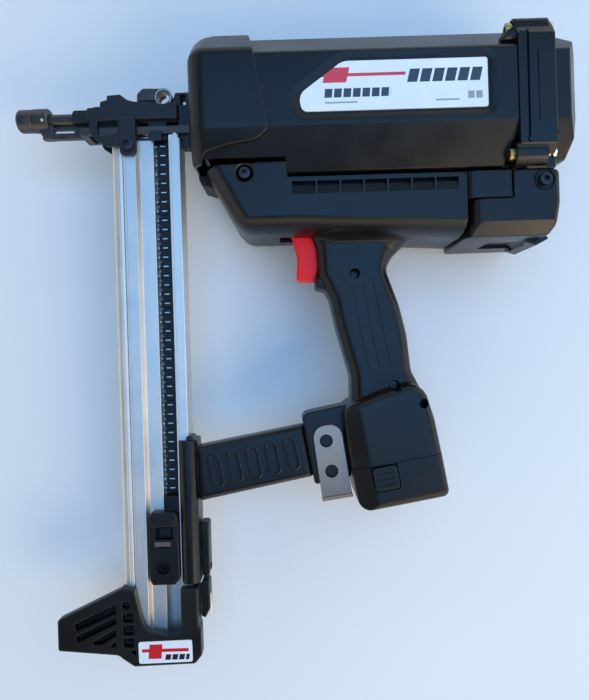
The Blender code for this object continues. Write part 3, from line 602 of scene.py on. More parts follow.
def engine_body(name, x0, x1, grow, edge=0.0):
    return slab(name, mirrored(ENGINE_SIDE), x0, x1, edge, plane="yh", grow=grow)


def engine_cover():
    cover = engine_body("cover", *COVER_X, 0, 9)
    dish = [  # how far past the outline, then h
        (-0.2, 48.2), (0.3, 48.3), (1.3, 49.0), (4.6, 49.88), (7.0, 50.4),
    ]
    recess = loft("recess", [[(x, y, h) for x, y in rounded(LABEL_RECESS, grow)] for grow, h in dish])
    notch = block("notch", (100, 203.2), (-70, -45.6), (-60, 60))
    around_lug = [(363, -33, 0), (357.5, -45, 1), (353, -60, 0), (363, -62, 0)]
    pockets = twins(slab, "pocket", around_lug, 36, 60)
    cut(cover, engine_body("bore", 100, 400, -WALL), notch, recess, *pockets)
    moulding(cover, "plastic", "engine_cover")
    label = slab("side_sticker", LABEL_RECESS, 48.1, 49.3, 0, 0.2, steps=2, grow=-1.3)
    piece(label, "label", "frame", "label", "side_label")


GUARD_OUTLINE = [
    (138, -49.5, 3), (146, -49.5, 2), (147.5, -43, 5), (163, -39, 12), (184, -36, 5),
    (193, -30, 5), (179.5, TOP_Y - 0.6, 2), (137.5, TOP_Y - 0.6, 24),
]


def front_guard():
    guard = slab("guard", GUARD_OUTLINE, -SIDE, SIDE)
    overlap(guard, engine_body("form", 137.5, 210, SIDE - 50, 12))
    soften(guard, 0.7, 7)
    inside = engine_body("inside", 140.2, 210, 0.3, 9.3)
    mouth = rod("mouth", (0, 0), 120, 150, 30, "x", 64)
    cut(guard, inside, mouth)
    moulding(guard, "plastic", "front_guard")


FLANGE_FRONT = 362.0
FLANGE_SIDE = [(TOP_Y - 2.4, 28, 5), (38.5, 46, 3), (30, 51.2, 3), (-44, 51.2, 2), (-50, 46, 2), (-55.3, 40, 3)]


def rear_flange():
    flange = slab("flange", mirrored(FLANGE_SIDE), FLANGE_FRONT, 387.6, 0.6, 1.2, "yh")
    horn = [(352.2, 30, 1), (360.6, 42.8, 1.5), (385, 42.8, 2), (387.4, 37.5, 1),
            (387.4, 27, 0), (352.2, 27, 0)]
    lugs = [rod("lug", c, FLANGE_FRONT - 2.4, 381, 8.6, "x", 56) for c in LOWER_LUGS]
    corners = twin_blocks("corner", (368, 388.4), (-59.6, -48), 28, 44, 1, 1)
    join(flange, *twins(slab, "horn", horn, 31.5, 48, 1, 4), *lugs, *corners)
    soften(flange, 0.45, 2)
    holes = [rod("hole", c, 340, 420, 2.8, "x") for c in UPPER_LUGS + LOWER_LUGS]
    holes += [rod("pocket", c, 330, 361.4, 5.4, "x") for c in UPPER_LUGS + LOWER_LUGS]
    bore = engine_body("bore", 330, 361.7, 0.05)
    step = [(363.4, 45, 0), (363.4, -37, 0), (366.4, -42, 3), (368.9, -40.6, 0), (369.3, 45, 0)]
    groove = band([(368.9, 37), (368.4, -38.5), (366.8, -41.6), (368.6, -43.6)], 1.3)
    crease = band([(375.0, 18), (375.2, -30)], 0.8)
    for name, shape, depth in (("step", step, 50.2), ("groove", groove, 49.1), ("crease", crease, 50.5)):
        holes += twins(slab, name, shape, depth, 60)
    rest = block("rest", (300, 420), (-90, 90), (-90, 90))
    cut(rest, block("span", (290, 430), (-100, 100), (-SIDE, SIDE)))
    cut(flange, rod("seat", (0, 0), 340, 420, 38.6, "x", 72), rest, bore, *holes)
    moulding(flange, "plastic", "rear_flange")


CAP_OUTLINE = [
    (386, -54, 0), (400.5, -51, 2), (REAR_X - 0.6, -21, 3), (REAR_X - 0.4, 24, 3),
    (408, 31.5, 2), (399, 39.6, 2), (386, 40.3, 0),
]
CAP_SIDE = [(40.3, 24, 1.5), (23, 42.5, 2), (-24, 42.5, 1.5), (-55, 29, 2)]
CAP_PLAN = [
    (386, -42.5, 0), (401, -42.5, 1.5), (REAR_X, -27, 2), (REAR_X, 27, 2), (401, 42.5, 1.5), (386, 42.5, 0),
]


def cap_form(name, grow):
    form = slab(name, CAP_OUTLINE, -45, 45, grow=grow)
    return overlap(form, slab("plan", CAP_PLAN, -60, 50, plane="xh", grow=grow),
                   slab("section", mirrored(CAP_SIDE), 376, 420, plane="yh", grow=grow))


def rear_cap():
    cap = soften(cap_form("end_bell", 0), 0.6, 2)
    mouth = slab("mouth", rectangle(-49, 34, -39, 39, 8), 380, 393.5, plane="yh")
    face = block("face", (380, 387.6), (-80, 80), (-80, 80))
    cut(cap, cap_form("room", -2.6), mouth, face)
    moulding(cap, "plastic", "rear_cap")


# --- housing

HOUSING_BODY = [
    (327.9, -57.8, 0.6), (203.6, -57.8, 1.5), (203.6, -48.2, 1.5), (145.4, -50.2, 2),
    (165, -87, 8), (172, -95.4, 12), (206, -95.6, 1), (225, -96.4, 0), (240, -97.6, 0),
    (290, -99.6, 8), (327.9, -102.6, 2),
]
HOUSING_TALL = [(339.6, -102.6, 3), (339.6, -30, 0), (134.6, -30, 0)] + HOUSING_BODY[4:-1]
REAR_TALL = [
    (300, -30, 0), (393.6, -30, 0), (393.6, -82, 12), (391, -97, 12), (385, -104.4, 4), (300, -104.4, 3),
]
REAR_SIDE = [(-30, 43, 0), (-92.5, 43, 3), (-104.4, 36.2, 1)]
REAR_TAB = [(300, -59.2, 0), (358.5, -59.2, 0.6), (358.5, -78.1, 0.6), (300, -78.1, 0)]
GRIP = [
    (217, -84, 0), (223.5, -106, 8), (224.5, -125, 6), (233, -143, 10), (236.8, -163, 30),
    (246.5, -200, 8), (246, -226, 0), (300, -226, 0), (298, -210, 10), (291.5, -197, 12),
    (289, -170, 40), (284, -148, 30), (275, -122, 12), (287, -84, 0),
]
FLARE = [  # y, then the ends in x, the half-thickness and the corner radius
    (-132, 228, 271, 15.4, 8), (-122, 226.5, 275, 15.6, 9), (-113, 226, 279.5, 15.8, 10),
    (-106, 226, 286.5, 16.4, 11), (-101, 226.5, 293, 18.5, 11), (-98.2, 227, 298.5, 24, 12),
    (-96.6, 228, 302, 32, 12), (-92, 230, 304, 38, 12),
]
GRIP_ROOM = [
    (221, -88, 0), (228, -112, 8), (241, -163, 30), (250.5, -200, 8), (250, -222, 0), (296, -222, 0),
    (287, -196, 12), (285, -170, 30), (280, -150, 20), (271, -121, 10), (281, -88, 0),
]
GUARD_LIP = [(222.5, -126, 0), (222.2, -133.6, 2), (229, -135.4, 4), (236, -140, 0), (236, -126, 0)]
BASE = [
    (238.5, -222, 10), (244.2, -265, 1), (308.4, -254.3, 1), (304.2, -231, 20),
    (298.6, -212, 12), (289, -204, 10), (263, -212, 8),
]
BASE_TALL = [(238.5, -222, 10), (247.5, -290, 0), (314.8, -290, 0)] + BASE[3:]
TAB = [(209.4, -229, 2), (212.6, -226, 2), (250, -219, 0), (250, -240, 0), (243.2, -262, 0),
       (243.4, -276, 2), (217.6, -279, 2)]
GRIP_HALF, BASE_HALF, BODY_HALF, TAB_HALF = 18.0, 32.0, 42.0, 13.0
SCREW_TOP = (251.2, -124.7)
SCREW_BOTTOM = (277.6, -207.0)
SCREW_FRONT = (174.5, -55.8)
LANYARD_EYE = (296, -219.6)
HOOK_HOLES = [(226.8, -246.5), (230.2, -268.8)]
GRIP_GROOVES = [
    [(248.8, -133.9), (251.8, -153.4), (255.1, -174), (259.2, -195.1)],
    [(256.1, -131.6), (259.1, -151.5), (262.6, -172), (266.9, -193.5)],
    [(263.8, -129.5), (267.1, -149.5), (270.7, -170), (274.9, -191.6)],
]


def stepped_hole(centre, end, floor, wide, side):
    """A clearance hole for a shank, opening out for the screw's head."""
    profile = [(end, 0), (end, 2.6), (floor, 2.6), (floor, wide), (60, wide), (60, 0)]
    return across("hole", profile, centre, side)


def rear_form(name, limits, start=328.6):
    """What the outline keeps of the housing behind the grip, its front rounded off from start."""
    form = slab(name, REAR_TALL, -BODY_HALF, BODY_HALF, 5, 5, rise=1.6)
    front = [(start, -10, 0), (start, -140, 0), (450, -140, 0), (450, -10, 0)]
    overlap(form, slab("front", front, -BODY_HALF, BODY_HALF, 11, 11, rise=1.3),
            slab("limits", limits, -60, 60), slab("side", mirrored(REAR_SIDE), 290, 430, plane="yh"))
    return soften(form, 0.6, 2)


def faceted(name, v0, v1):
    """The battery socket's section, with its slanted side faces, along the battery's way out."""
    section = mirrored([(-1, 26, 1), (13.5, 32, 2), (61.5, 32, 2), (66, 29, 1)])
    return loft(name, [[(*on_battery(u, v)[:2], h) for u, h in rounded(section)] for v in (v0, v1)])


def housing_form():
    """Engine cradle, grip and battery socket as one flowing form, with the rooms inside."""
    form = slab("form", HOUSING_TALL, -BODY_HALF, BODY_HALF, 11, 11, rise=2.0, steps=9)
    overlap(form, slab("limits", HOUSING_BODY, -60, 60))
    base = slab("base", BASE_TALL, -BASE_HALF, BASE_HALF, 7, 7)
    overlap(base, faceted("facets", -90, 40))
    rings = [[(x, y, h) for x, h in rounded(rectangle(x0, x1, -half, half, r))] for y, x0, x1, half, r in FLARE]
    join(
        form,
        slab("grip", GRIP, -GRIP_HALF, GRIP_HALF, 9, 9),
        loft("flare", rings),
        base,
        slab("tab", TAB, -TAB_HALF, TAB_HALF, 1.5, 1.5),
        slab("lip", GUARD_LIP, -14, 14, 2, 2),
    )
    soften(form, 0.8, 9, 0.35)
    join(form, rear_form("rear_tab", REAR_TAB, 323.6))
    for web in twin_blocks("web", (318, 336), (-76, -62), 26, 33):
        join(form, web)
    inner = BODY_HALF - WALL
    cut(
        form,
        slab("body_room", HOUSING_BODY, -inner, inner, 10, 10, grow=-WALL, rise=2.2, steps=8),
        slab("grip_room", GRIP_ROOM, -GRIP_HALF + WALL, GRIP_HALF - WALL, 7, 7),
        slab("base_room", BASE, -BASE_HALF + 4.5, BASE_HALF - 4.5, 6, 6, grow=-4),
    )
    mouth = [(250, -258, 0), (251, -275, 0), (305, -268, 0), (301, -249, 0)]
    cut(
        form,
        block("over", (204.2, 362), (-59.2, -40), (-60, 60)),
        block("cradle", (160, 352), (-63, -40), (-38.5, 38.5)),
        block("trigger_slot", (197, 236), (-128.2, -85), (-9.7, 9.7)),
        block("rear_mouth", (318, 364), (-98, -64.5), (-28, 28)),
        slab("under", battery_box((-0.6, 80), (0.1, 60)), -50, 50),
        slab("mouth", mouth, -BASE_HALF + 5, BASE_HALF - 5, 6, 6),
    )
    return form


def housing_bosses():
    """Screw bosses, the ears that carry the door and the wall behind the vents."""
    bosses = [rod("boss", c, -GRIP_HALF + 1, GRIP_HALF - 1, 5.5) for c in (SCREW_TOP, SCREW_BOTTOM)]
    ear = [(350, -72, 0), (388.4, -72, 7), (388.4, -61.4, 3), (350, -61.4, 0)]
    bosses += twin_blocks("ear_root", (340, 357.5), (-73, -60.5), 31, 40)
    bosses += twins(slab, "ear", ear, 31, 38.2, 0.6, 0.6)
    bosses += twin_blocks("vent_wall", (203.8, 325), (-72.5, -60), BODY_HALF - 7.5, BODY_HALF - 2)
    return bosses + twins(rod, "boss", TRIGGER_PIVOT, 10, 26, 4.5)


def housing_cutters():
    """Vents, screw holes, pivots, the lanyard eye, grip grooves and the gap under the cover."""
    louvre = [(-63, 44), (-63, BODY_HALF - 7.5), (-65.7, BODY_HALF - 7.5), (-65.9, BODY_HALF - 1.3),
              (-71.8, BODY_HALF - 0.1), (-71.8, 44)]
    cutters = [rod("hole", TRIGGER_PIVOT, -20, 20, 2.25)]
    for side in (1, -1):
        cutters.append(slab("louvre", [(y, side * h, 0) for y, h in louvre], 207, 322.5, plane="yh"))
        for centre, end, floor, wide in (
            (SCREW_TOP, -2, 8.0, 3.9), (SCREW_BOTTOM, -2, 11.5, 3.9), (SCREW_FRONT, 20, 37.0, 5.6),
        ):
            cutters.append(stepped_hole(centre, end, floor, wide, side))
        rim = [(BODY_HALF - 1.2, 0), (BODY_HALF - 1.2, 5.6), (BODY_HALF + 0.4, 7.4), (BODY_HALF + 0.4, 0)]
        cutters.append(across("rim", rim, SCREW_FRONT, side))
    cutters += twins(rod, "hole", DOOR_PIVOT, 20, 60, 2.7)
    cutters += twins(rod, "eye", LANYARD_EYE, 12, 60, 3.5)
    for low, high in both_sides(GRIP_HALF - 0.9, GRIP_HALF + 4):
        for groove in GRIP_GROOVES:
            cutters.append(slab("groove", band(groove, 1.4), low, high))
    cutters += [stepped_hole(centre, 3, 9, 4.8, 1) for centre in HOOK_HOLES]
    return cutters + twin_blocks("reveal", (204.2, 327.2), (-61.4, -50), 39.4, 60)


def vent_fins():
    fin = [(-62.5, BODY_HALF - 7.2), (-62.5, BODY_HALF), (-66, BODY_HALF + 0.5), (-73.4, BODY_HALF - 0.2),
           (-65, BODY_HALF - 7.2)]
    middles = [224 + 16.4 * k for k in range(7)]
    return [slab("fin", [(y, side * h, 0) for y, h in fin], x - 0.65, x + 0.65, plane="yh")
            for x in middles for side in (1, -1)]


def housing():
    """The clamshell, split down the middle."""
    form = housing_form()
    for boss in housing_bosses():
        join(form, boss)
    for cutter in housing_cutters():
        cut(form, cutter)
    for fin in vent_fins():
        join(form, fin)
    right = copied(form, "housing_shell_right")
    form.name = "housing_shell_left"
    cut(form, block("half", (100, 450), (-320, 50), (-90, 0.1)))
    cut(right, block("half", (100, 450), (-320, 50), (-0.1, 90)))
    moulding(form, "grip", "housing_left")
    moulding(right, "grip", "housing_right")


def front_lip():
    outline = [(138.9, -46, 0), (138.9, -51.5, 1), (140.8, -56, 3), (147.2, -58.2, 2), (153, -60, 0),
               (147, -46, 0)]
    lip = soften(slab("front_lip", outline, -15, 15, 1, 1), 0.4, 2)
    cut(lip, slab("room", GUARD_OUTLINE, -60, 60, grow=0.1))
    piece(lip, "rubber", "frame", "rubber", "front_bumper")


DOOR = [
    (360, -59.6, 2), (392.8, -59.6, 5), (393.6, -84, 0), (393.6, -112, 0),
    (300, -112, 0), (300, -78.8, 0), (360, -78.8, 0.5),
]
DOOR_ROOM = [
    (328.6, -78.8, 0), (387, -78.8, 0), (391, -84, 8), (388, -97, 8), (383, -104.4, 3), (328.6, -104.4, 3),
]


def gas_door():
    door = rear_form("cell_hatch", DOOR)
    room = slab("room", DOOR_ROOM, -36, 36, 5, 5, grow=-3.4)
    front = block("front", (320, 345), (-100, -60), (-28, 28))
    roof = block("roof", (344, 389.6), (-84, -50), (-39.4, 39.4))
    tail = block("tail", (385, 400), (-74, -50), (-30, 30))
    rim = [(BODY_HALF - 0.8, 0), (BODY_HALF - 0.8, 6.3), (BODY_HALF + 0.5, 8), (BODY_HALF + 0.5, 0)]
    holes = twins(rod, "hole", DOOR_PIVOT, 30, 60, 6.4)
    holes += [across("rim", rim, DOOR_PIVOT, side) for side in (1, -1)]
    cut(door, room, front, roof, tail, *holes)
    tab = [(373, -102, 0), (389, -100.4, 1), (391.6, -104, 1), (382.5, -108.6, 1), (375.5, -106.3, 1)]
    join(door, slab("tab", tab, -22, 22, 1, 1))
    cut(door, slab("grip_hole", [(350, -102, 4), (377, -102, 6), (377, -110, 0), (350, -110, 0)], -14, 14))
    for web in twins(ring, "web", DOOR_PIVOT, 38.9, 41, 7, 2.9, "h"):
        join(door, web)
    moulding(door, "grip", "gas_door", "cell_door")


# --- nose

RAIL_H = (7.5, 10.5)
BAR_Y = (-15.8, -9.8)


def probe():
    profile = [(2.0, 7.0), (2.4, 7.5), (3.4, 8.3), (4.2, 8.5), (12.6, 8.5), (13.1, 8.1), (13.8, 8.1),
               (14.3, 8.8), (24.6, 8.8), (25.8, 7.6), (25.8, 4.9), (2.4, 4.9), (2.0, 5.3)]
    collar = turned("contact_probe", profile, (0, 0), sides=56, hollow=True)
    lug = [(18, -4, 0), (18, -9, 1), (22, -14.6, 1), (28.4, -14.6, 0), (28.4, -4, 0)]
    legs = slab("lug", lug, -4, 4, 0.8, 0.8)
    join(
        legs,
        block("over", (22, 60), (-7.8, -5.0), (-1.8, 1.8), 0.4, 0.4),
        block("bar", (20, 57), (-14.8, -10.2), (-2.4, 2.4), 0.6, 0.6),
        block("rib", (44, 58), (-12, -7), (-2, 2)),
        block("fork", (51, 57), BAR_Y, (-RAIL_H[1], RAIL_H[1]), 0.5, 0.5),
    )
    for rail in twin_blocks("rail", (54, 142), (-15.5, -10), *RAIL_H, 0.4, 0.4):
        join(legs, rail)
    join(collar, legs)
    cut(collar, rod("bore", (0, 0), -5, 30, 4.9, "x", 56))
    piece(collar, "blued", "contact", "black_steel", "probe")
    head = [(7.5, 0), (7.5, 1.1), (8.75, 1.1), (8.95, 0.8), (8.95, 0)]
    pin = turned("collar_pin", head, (22.4, -2.4), "h", 20)
    piece(pin, "nail", "contact", "black_steel")


def guide_tube():
    profile = [(17.5, 4.2), (17.9, 4.5), (57, 4.5), (57, 3.7), (17.5, 3.7)]
    piece(turned("muzzle_tube", profile, (0, 0), hollow=True), "blued", "frame", "steel", "guide_tube")


NOSE_SPINE = [
    (44, -4.7, 1), (60, -4.7, 0), (60, -8.6, 0.5), (75, -8.6, 1), (76, -18.7, 1), (131, -18.7, 1),
    (134, -14, 1), (162, -14, 0), (162, 8, 0), (134, 8, 0), (134, 16, 1), (122, 16, 1), (119, 8, 0),
    (60, 7.2, 1), (60, 4.9, 0), (45.4, 4.9, 1), (44, 2.2, 1),
]
NOSE_PLATE = [
    (57, -4.9, 1), (57, 4.4, 1), (66.6, 4.8, 0.5), (67, 8.8, 0.5), (72, 10, 0.5), (72, 13.2, 0.5),
    (81.8, 13.8, 1), (87.3, 9.6, 1), (92, 8.2, 1), (124, 6.8, 1), (124, -4.9, 1),
]
NOSE_CHEEK = [
    (58, -4, 0), (60.4, -15.2, 1), (62, -18.6, 1), (72, -25.2, 1), (81, -25.2, 0), (81.2, -32.2, 4),
    (93.6, -32.2, 4), (93.6, -4, 0),
]


def nose():
    """The cast nose: a spine under the fork, a toothed plate, and two cheeks that clamp the magazine."""
    body = slab("nose_casting", NOSE_SPINE, -7, 7, 0.8, 0.8)
    heel = block("heel", (125.6, 132), (-24.6, -8), (-6, 6), 1, 0.8)
    join(body, slab("plate", NOSE_PLATE, -12, 12, 1, 1), heel)
    for cheek in twins(slab, "cheek", NOSE_CHEEK, 11, 13.6):
        cut(cheek, slab("window", rectangle(65, 80, -17, -6, 1), -20, 20))
        join(body, cheek)
    clamp = [(81.5, -5, 1), (81.5, -32, 4), (93.3, -32, 4), (93.3, -5, 1)]
    for part in twins(slab, "clamp", clamp, 13, 14.6) + twin_blocks("gate", (102, 114), (-12, -5), 6, 6.9):
        join(body, part)
    join(body, rod("boss", (0, 0), 160.8, 164.0, 24, "x"))
    soften(body, 0.36, 2, 0.4)
    cut(
        body, rod("bore", (0, 0), 30, 57.3, 4.58, "x"), rod("barrel", (0, 0), 50, 200, 3.8, "x"),
        block("nail_slot", (84.6, 123), (-40, 0), (-3.9, 3.9)),
        block("bar_way", (58, 78), (-9.2, -4.8), (-5.3, 5.3)),
        block("light_slot", (126.2, 128.9), (8.6, 13.6), (-20, 20)),
        *twin_blocks("thin", (125.4, 130), (6.5, 14.4), 2, 20),
        *twin_blocks("recess", (94.2, 123.6), (-18.4, -5.4), 3.9, 5.9),
        *twin_blocks("recess", (94.2, 101.4), (-18.4, -5.4), 3.9, 20),
        *twin_blocks("recess", (114.6, 124.2), (-18.4, -5.4), 3.9, 20),
        rod("screw_hole", CLAMP_SCREW, 5, 30, 2.7),
        rod("lever_seat", LEVER_PIVOT, -20, 20, 7.1),
        block("face", (163.9, 200), (-40, 40), (-40, 40)),
    )
    piece(body, "cast", "frame", "cast_black", "nose_body")
    gate = block("feed_gate", (103, 111.8), (-20.4, -13.4), (7.1, 11.2), 0.8, 0.5)
    join(gate, block("stem", (103.5, 109.5), (-15.5, -10.5), (7.1, 9.6), 0.5, 0.4))
    piece(gate, "cast", "frame", "cast_black")


def release_lever():
    arm = [(93, 9.9, 1), (93, 16, 3), (97.5, 20.2, 3), (113, 19.6, 2), (113, 9.9, 0)]
    lever = slab("nose_latch", arm, -7, 7, 1.6, 1.6)
    join(lever, rod("eye", LEVER_PIVOT, -1.4, 7.4, 6.6, sides=56))
    soften(lever, 0.25, 2, 0.4)
    cut(lever, rod("hole", LEVER_PIVOT, -20, 20, 5.0, sides=56))
    piece(lever, "blued", "nose_lever", "black_steel", "release_lever")
    profile = [(7.0, 6.3), (7.7, 6.6), (8.0, 6.4), (8.1, 5.9), (8.0, 5.2), (7.6, 4.9), (-1.2, 4.9), (-1.2, 5.1),
               (7.0, 5.1)]
    bush = turned("latch_bush", profile, LEVER_PIVOT, "h", 56, hollow=True)
    piece(bush, "ring", "nose_lever", "black_steel")


# --- magazine

MAG_TOP, MAG_END = -19.3, -396.0
CHANNEL = [
    (82.4, -10.5, 0.5), (125, -10.5, 0.8), (125, 10.5, 0.8), (116.5, 10.5, 0.5), (116.5, 3.9, 0),
    (122.4, 3.9, 0), (122.4, -3.9, 0), (86, -3.9, 0), (86, 3.9, 0), (104.5, 3.9, 0), (104.5, 6.5, 0.4),
    (94, 6.5, 0.6), (91.8, 10.5, 0.5), (82.4, 10.5, 0.5),
]


def magazine():
    channel = slab("magazine_extrusion", CHANNEL, MAG_END, MAG_TOP, plane="xh")
    lines = [slab("line", [(x, 10.2, 0), (x + 0.35, 11, 0), (x - 0.35, 11, 0)], -500, 0, plane="xh")
             for x in (84.2, 118.3)]
    join(channel, block("step", (116.6, 123.4), (-22, -16.7), (8.4, 10.4)),
         block("finger", (120.2, 122.3), (-22, -11.4), (8.4, 10.4)))
    cut(channel, rod("screw_hole", CLAMP_SCREW, 4, 30, 2.7), *lines)
    piece(channel, "aluminium", "frame", "aluminium", "magazine_channel")
    ridge = [(73.8, -6, 3), (82, -9.5, 1), (82, 9.5, 1), (79.6, 9.9, 0.3), (79.2, 9.0, 0.2), (78.6, 9.9, 0.3),
             (73.8, 9, 3)]
    rail = slab("magazine_rail", ridge, MAG_END, MAG_TOP - 1, plane="xh")
    piece(rail, "aluminium", "frame", "aluminium", "magazine_front_rail")


def nail_strips():
    """Ten nails to a strip, each showing through its own window in the plastic collation."""
    for number in range(4):
        first = -7.9 - PITCH * 10 * number
        last = first - PITCH * 9
        strip = block(f"collation_{number + 1}", (106, 115.4), (last - 3.3, first + 3.3), (-2.7, 2.7), edge=0.3)
        notches = []
        for k in range(10):
            y = first - PITCH * k
            notches.append(block("window", (108.2, 112.4), (y - 1.0, y + 1.0), (-0.2, 6), 0.4))
            notches.append(block("nick", (105, 107), (y + 2.2, y + 4.2), (-6, 6), 0.2))
        cut(strip, *notches)
        piece(strip, "matt", "frame", "nail_steel")
        nails = None
        for k in range(10):
            y = first - PITCH * k
            profile = [(88, 0), (91.5, 1.3), (119.4, 1.3), (119.7, 3.0), (121.2, 3.0), (121.2, 0)]
            nail = turned("nail", profile, (y, 0), sides=14)
            nails = join(nails, nail) if nails else nail
        nails.name = f"nails_{number + 1}"
        piece(nails, "nail", "frame", "nail_steel", f"nail_strip_{number + 1}")


def pusher():
    outline = [(94.3, -300, 1.5), (116.1, -300, 1.5), (116.1, -345.5, 1.5), (112.5, -349.5, 1.5),
               (96, -349.5, 1), (94.3, -346, 1)]
    slider = slab("follower_slide", outline, 7, 13.6, 0.6, 0.8)
    hood = [(95, -299, 1), (97, -295.5, 1.2), (113.4, -295.5, 1.2), (115.6, -298, 1), (115.6, -304, 1),
            (112, -306, 1), (97.5, -306, 1), (95, -303, 1)]
    join(slider, slab("hood", hood, 7, 16, 0.6, 1))
    join(slider, block("tongue", (105.4, 115.6), (-345, -285.2), (-3.4, 8)))
    soften(slider, 0.32, 2, 0.4)
    cut(
        slider,
        block("recess", (99.4, 112), (-316, -307), (8.6, 20), 0.8),
        block("slot", (97.2, 110.4), (-322.2, -317.6), (11.0, 20), 0.6),
        turned("hole", [(7.6, 0), (7.6, 2.6), (10.4, 2.6), (10.4, 4.6), (13.0, 4.9), (14.5, 5.6), (14.5, 0)],
               (104.3, -336.6), "h"),
    )
    join(slider, block("step", (101.5, 110), (-315.2, -308.2), (8, 10.6), 0.6, 0.4))
    moulding(slider, "matt", "pusher", "follower")
    insert = block("follower_insert", (97.6, 110.1), (-321.8, -318), (11.0, 12.7), 0.4, 0.3)
    # The insert's nickel finish carries a painted warm reflection in its base colour
    piece(insert, "nickel", "follower", "black_plastic")


FOOT_OUTLINE = [
    (72.4, -350, 2), (72.4, -400.4, 1), (82, FOOT_Y, 3), (126.5, FOOT_Y + 1, 4),
    (132.3, -399, 4), (132.8, -384, 3), (129.8, -378, 2), (129.8, -351, 1), (84, -351, 2),
]
FOOT_WING = [(26.5, -371.6, 3), (26.5, -394, 2), (70, -398.5, 3), (76, -402, 0), (76, -350, 0), (74, -350, 2)]
FOOT_CUP = [
    (83.2, -340, 0), (83.6, -354, 3), (87, -370, 10), (91, -381.5, 8), (104, -384.6, 6),
    (117.2, -384.6, 2), (117.2, -340, 0),
]
WING_SLOTS = [
    [(39.3, -374.6, 1), (39.7, -380.1, 1), (70, -367.7, 1), (69.5, -360.7, 1)],
    [(39.6, -383.8, 1), (40.6, -388.3, 1), (69.8, -375.1, 1), (70, -369.6, 1)],
    [(49.6, -389.6, 1), (57.9, -390.3, 1), (69.5, -383.6, 1), (69.7, -378.4, 1)],
    [(64, -392.0, 0.6), (69.3, -392.3, 0.6), (69.4, -387.4, 0.6)],
]
FOOT_HALF = 18.0


def foot():
    """The magazine's end cap with its pocketed stabiliser wing."""
    cap = slab("foot_cap", FOOT_OUTLINE, -FOOT_HALF, FOOT_HALF, 1.5, 1.5)
    join(cap, slab("wing", FOOT_WING, 9.5, FOOT_HALF, 1, 1.5))
    cuts = [slab("cup", FOOT_CUP, -30, 30)] + [slab("slot", slot, 11.2, 30) for slot in WING_SLOTS]
    for high, low in ((-367.3, -374.5), (-376.0, -383.8), (-385.6, -392.5)):
        cuts.append(block("pocket", (74.6, 82.4), (low, high), (12.6, 30), 1.2))
    cuts.append(rod("hole", (77, -361.9), 12.6, 30, 2.9))
    cuts.append(slab("corner", [(78.6, -394.6, 0.6), (83.6, -394.6, 0.6), (83.8, -399.6, 0.6)], 12.6, 30))
    cut(cap, *cuts)
    leaning = [(20, 18.2, 0), (131.4, 18.2, 0), (131.4, 8, 2), (124.6, -15, 1), (20, -15, 0)]
    overlap(cap, slab("leaning", leaning, -420, -330, plane="xh"))
    soften(cap, 0.4, 2, 0.35)
    cut(cap, block("tunnel", (73.4, 125.4), (-396.4, -340), (-10.9, 10.9)))
    moulding(cap, "matt", "foot")
    outline = [(85.5, -388.6, 1.5), (124.6, -387.9, 1.5), (124.8, -403.8, 1.5), (85.7, -404.4, 1.5)]
    sticker = slab("foot_sticker", outline, FOOT_HALF - 0.1, FOOT_HALF + 0.25)
    piece(sticker, "foot_label", "frame", "label")


def bridge():
    arm = [(129.5, -249.2, 2), (131, -290, 3), (217.6, -273.6, 3), (210.9, -235, 2)]
    body = slab("magazine_bridge", arm, -12, 12, 4.5, 4.5, rise=1.5)
    join(body, slab("sleeve", rectangle(117.2, 131, -15.2, 15.2, 6.4), -349.3, -243.5, 0.8, 0.8, plane="xh"),
         block("nub", (123.5, 128.5), (-246, -240.4), (-5, 13.4), 1.5, 1.5))
    ovals, rims = [], []
    for k in range(5):
        x, y, lean = 144.8 + 14.1 * k, -266.6 + 2.7 * k, 2.2
        oval = [(x - 3.4 - lean, y + 11, 3.2), (x + 3.4 - lean, y + 11, 3.2),
                (x + 3.4 + lean, y - 11, 3.2), (x - 3.4 + lean, y - 11, 3.2)]
        rims += twins(slab, "rim", oval, 11, 12.4, grow=0.9)
        ovals += twins(slab, "oval", oval, 10.9, 20)
    join(body, *rims)
    cut(body, *ovals)
    soften(body, 0.4, 3, 0.4)
    cut(body, block("rail_way", (100, 125.4), (-360, -230), (-10.9, 10.9)))
    moulding(body, "plastic", "bridge")


def latches():
    lever_outline = [(131.5, -306, 1), (137.4, -306, 2), (137.4, -346.4, 3.4), (131.5, -346.4, 2.4)]
    clip_outline = [(130.2, -352, 1), (131.4, -349.6, 0), (136.6, -349.6, 2), (136.6, -371, 2),
                    (133, -378, 1), (130.2, -376.5, 1)]
    lever = slab("finger_latch", lever_outline, -6.5, 6.5, 1, 1)
    clip = slab("foot_clip", clip_outline, -6, 6, 1, 1)
    join(clip, block("knuckle", (132, 136), (-352, -342.2), (-3, 3)))
    cut(lever, block("gap", (120, 150), (-353, -338.6), (-3.4, 3.4)))
    for part, body, node in ((lever, "latch_lever", "magazine_latch"), (clip, "latch_clip", "latch_hook")):
        soften(part, 0.25, 2, 0.4)
        cut(part, rod("hole", LATCH_PIVOT, -20, 20, 1.4))
        moulding(part, "matt", node, body)
    wire = turned("clip_wire", [(-377, 0), (-377, 0.45), (-360.5, 0.45), (-360.5, 0)], (136.7, 2), "y", 12)
    join(wire, turned("bend", [(134, 0), (134, 0.45), (137.1, 0.45), (137.1, 0)], (-361, 2), "x", 12))
    piece(wire, "nail", "latch_clip", "black_steel")


# --- battery and small parts

def on_battery(u, v, radius=0.0):
    """A point u along the battery's top edge and v down from it."""
    x = BATTERY_CORNER[0] + u * math.cos(BATTERY_TILT) + v * math.sin(BATTERY_TILT)
    y = BATTERY_CORNER[1] + u * math.sin(BATTERY_TILT) - v * math.cos(BATTERY_TILT)
    return (x, y, radius)


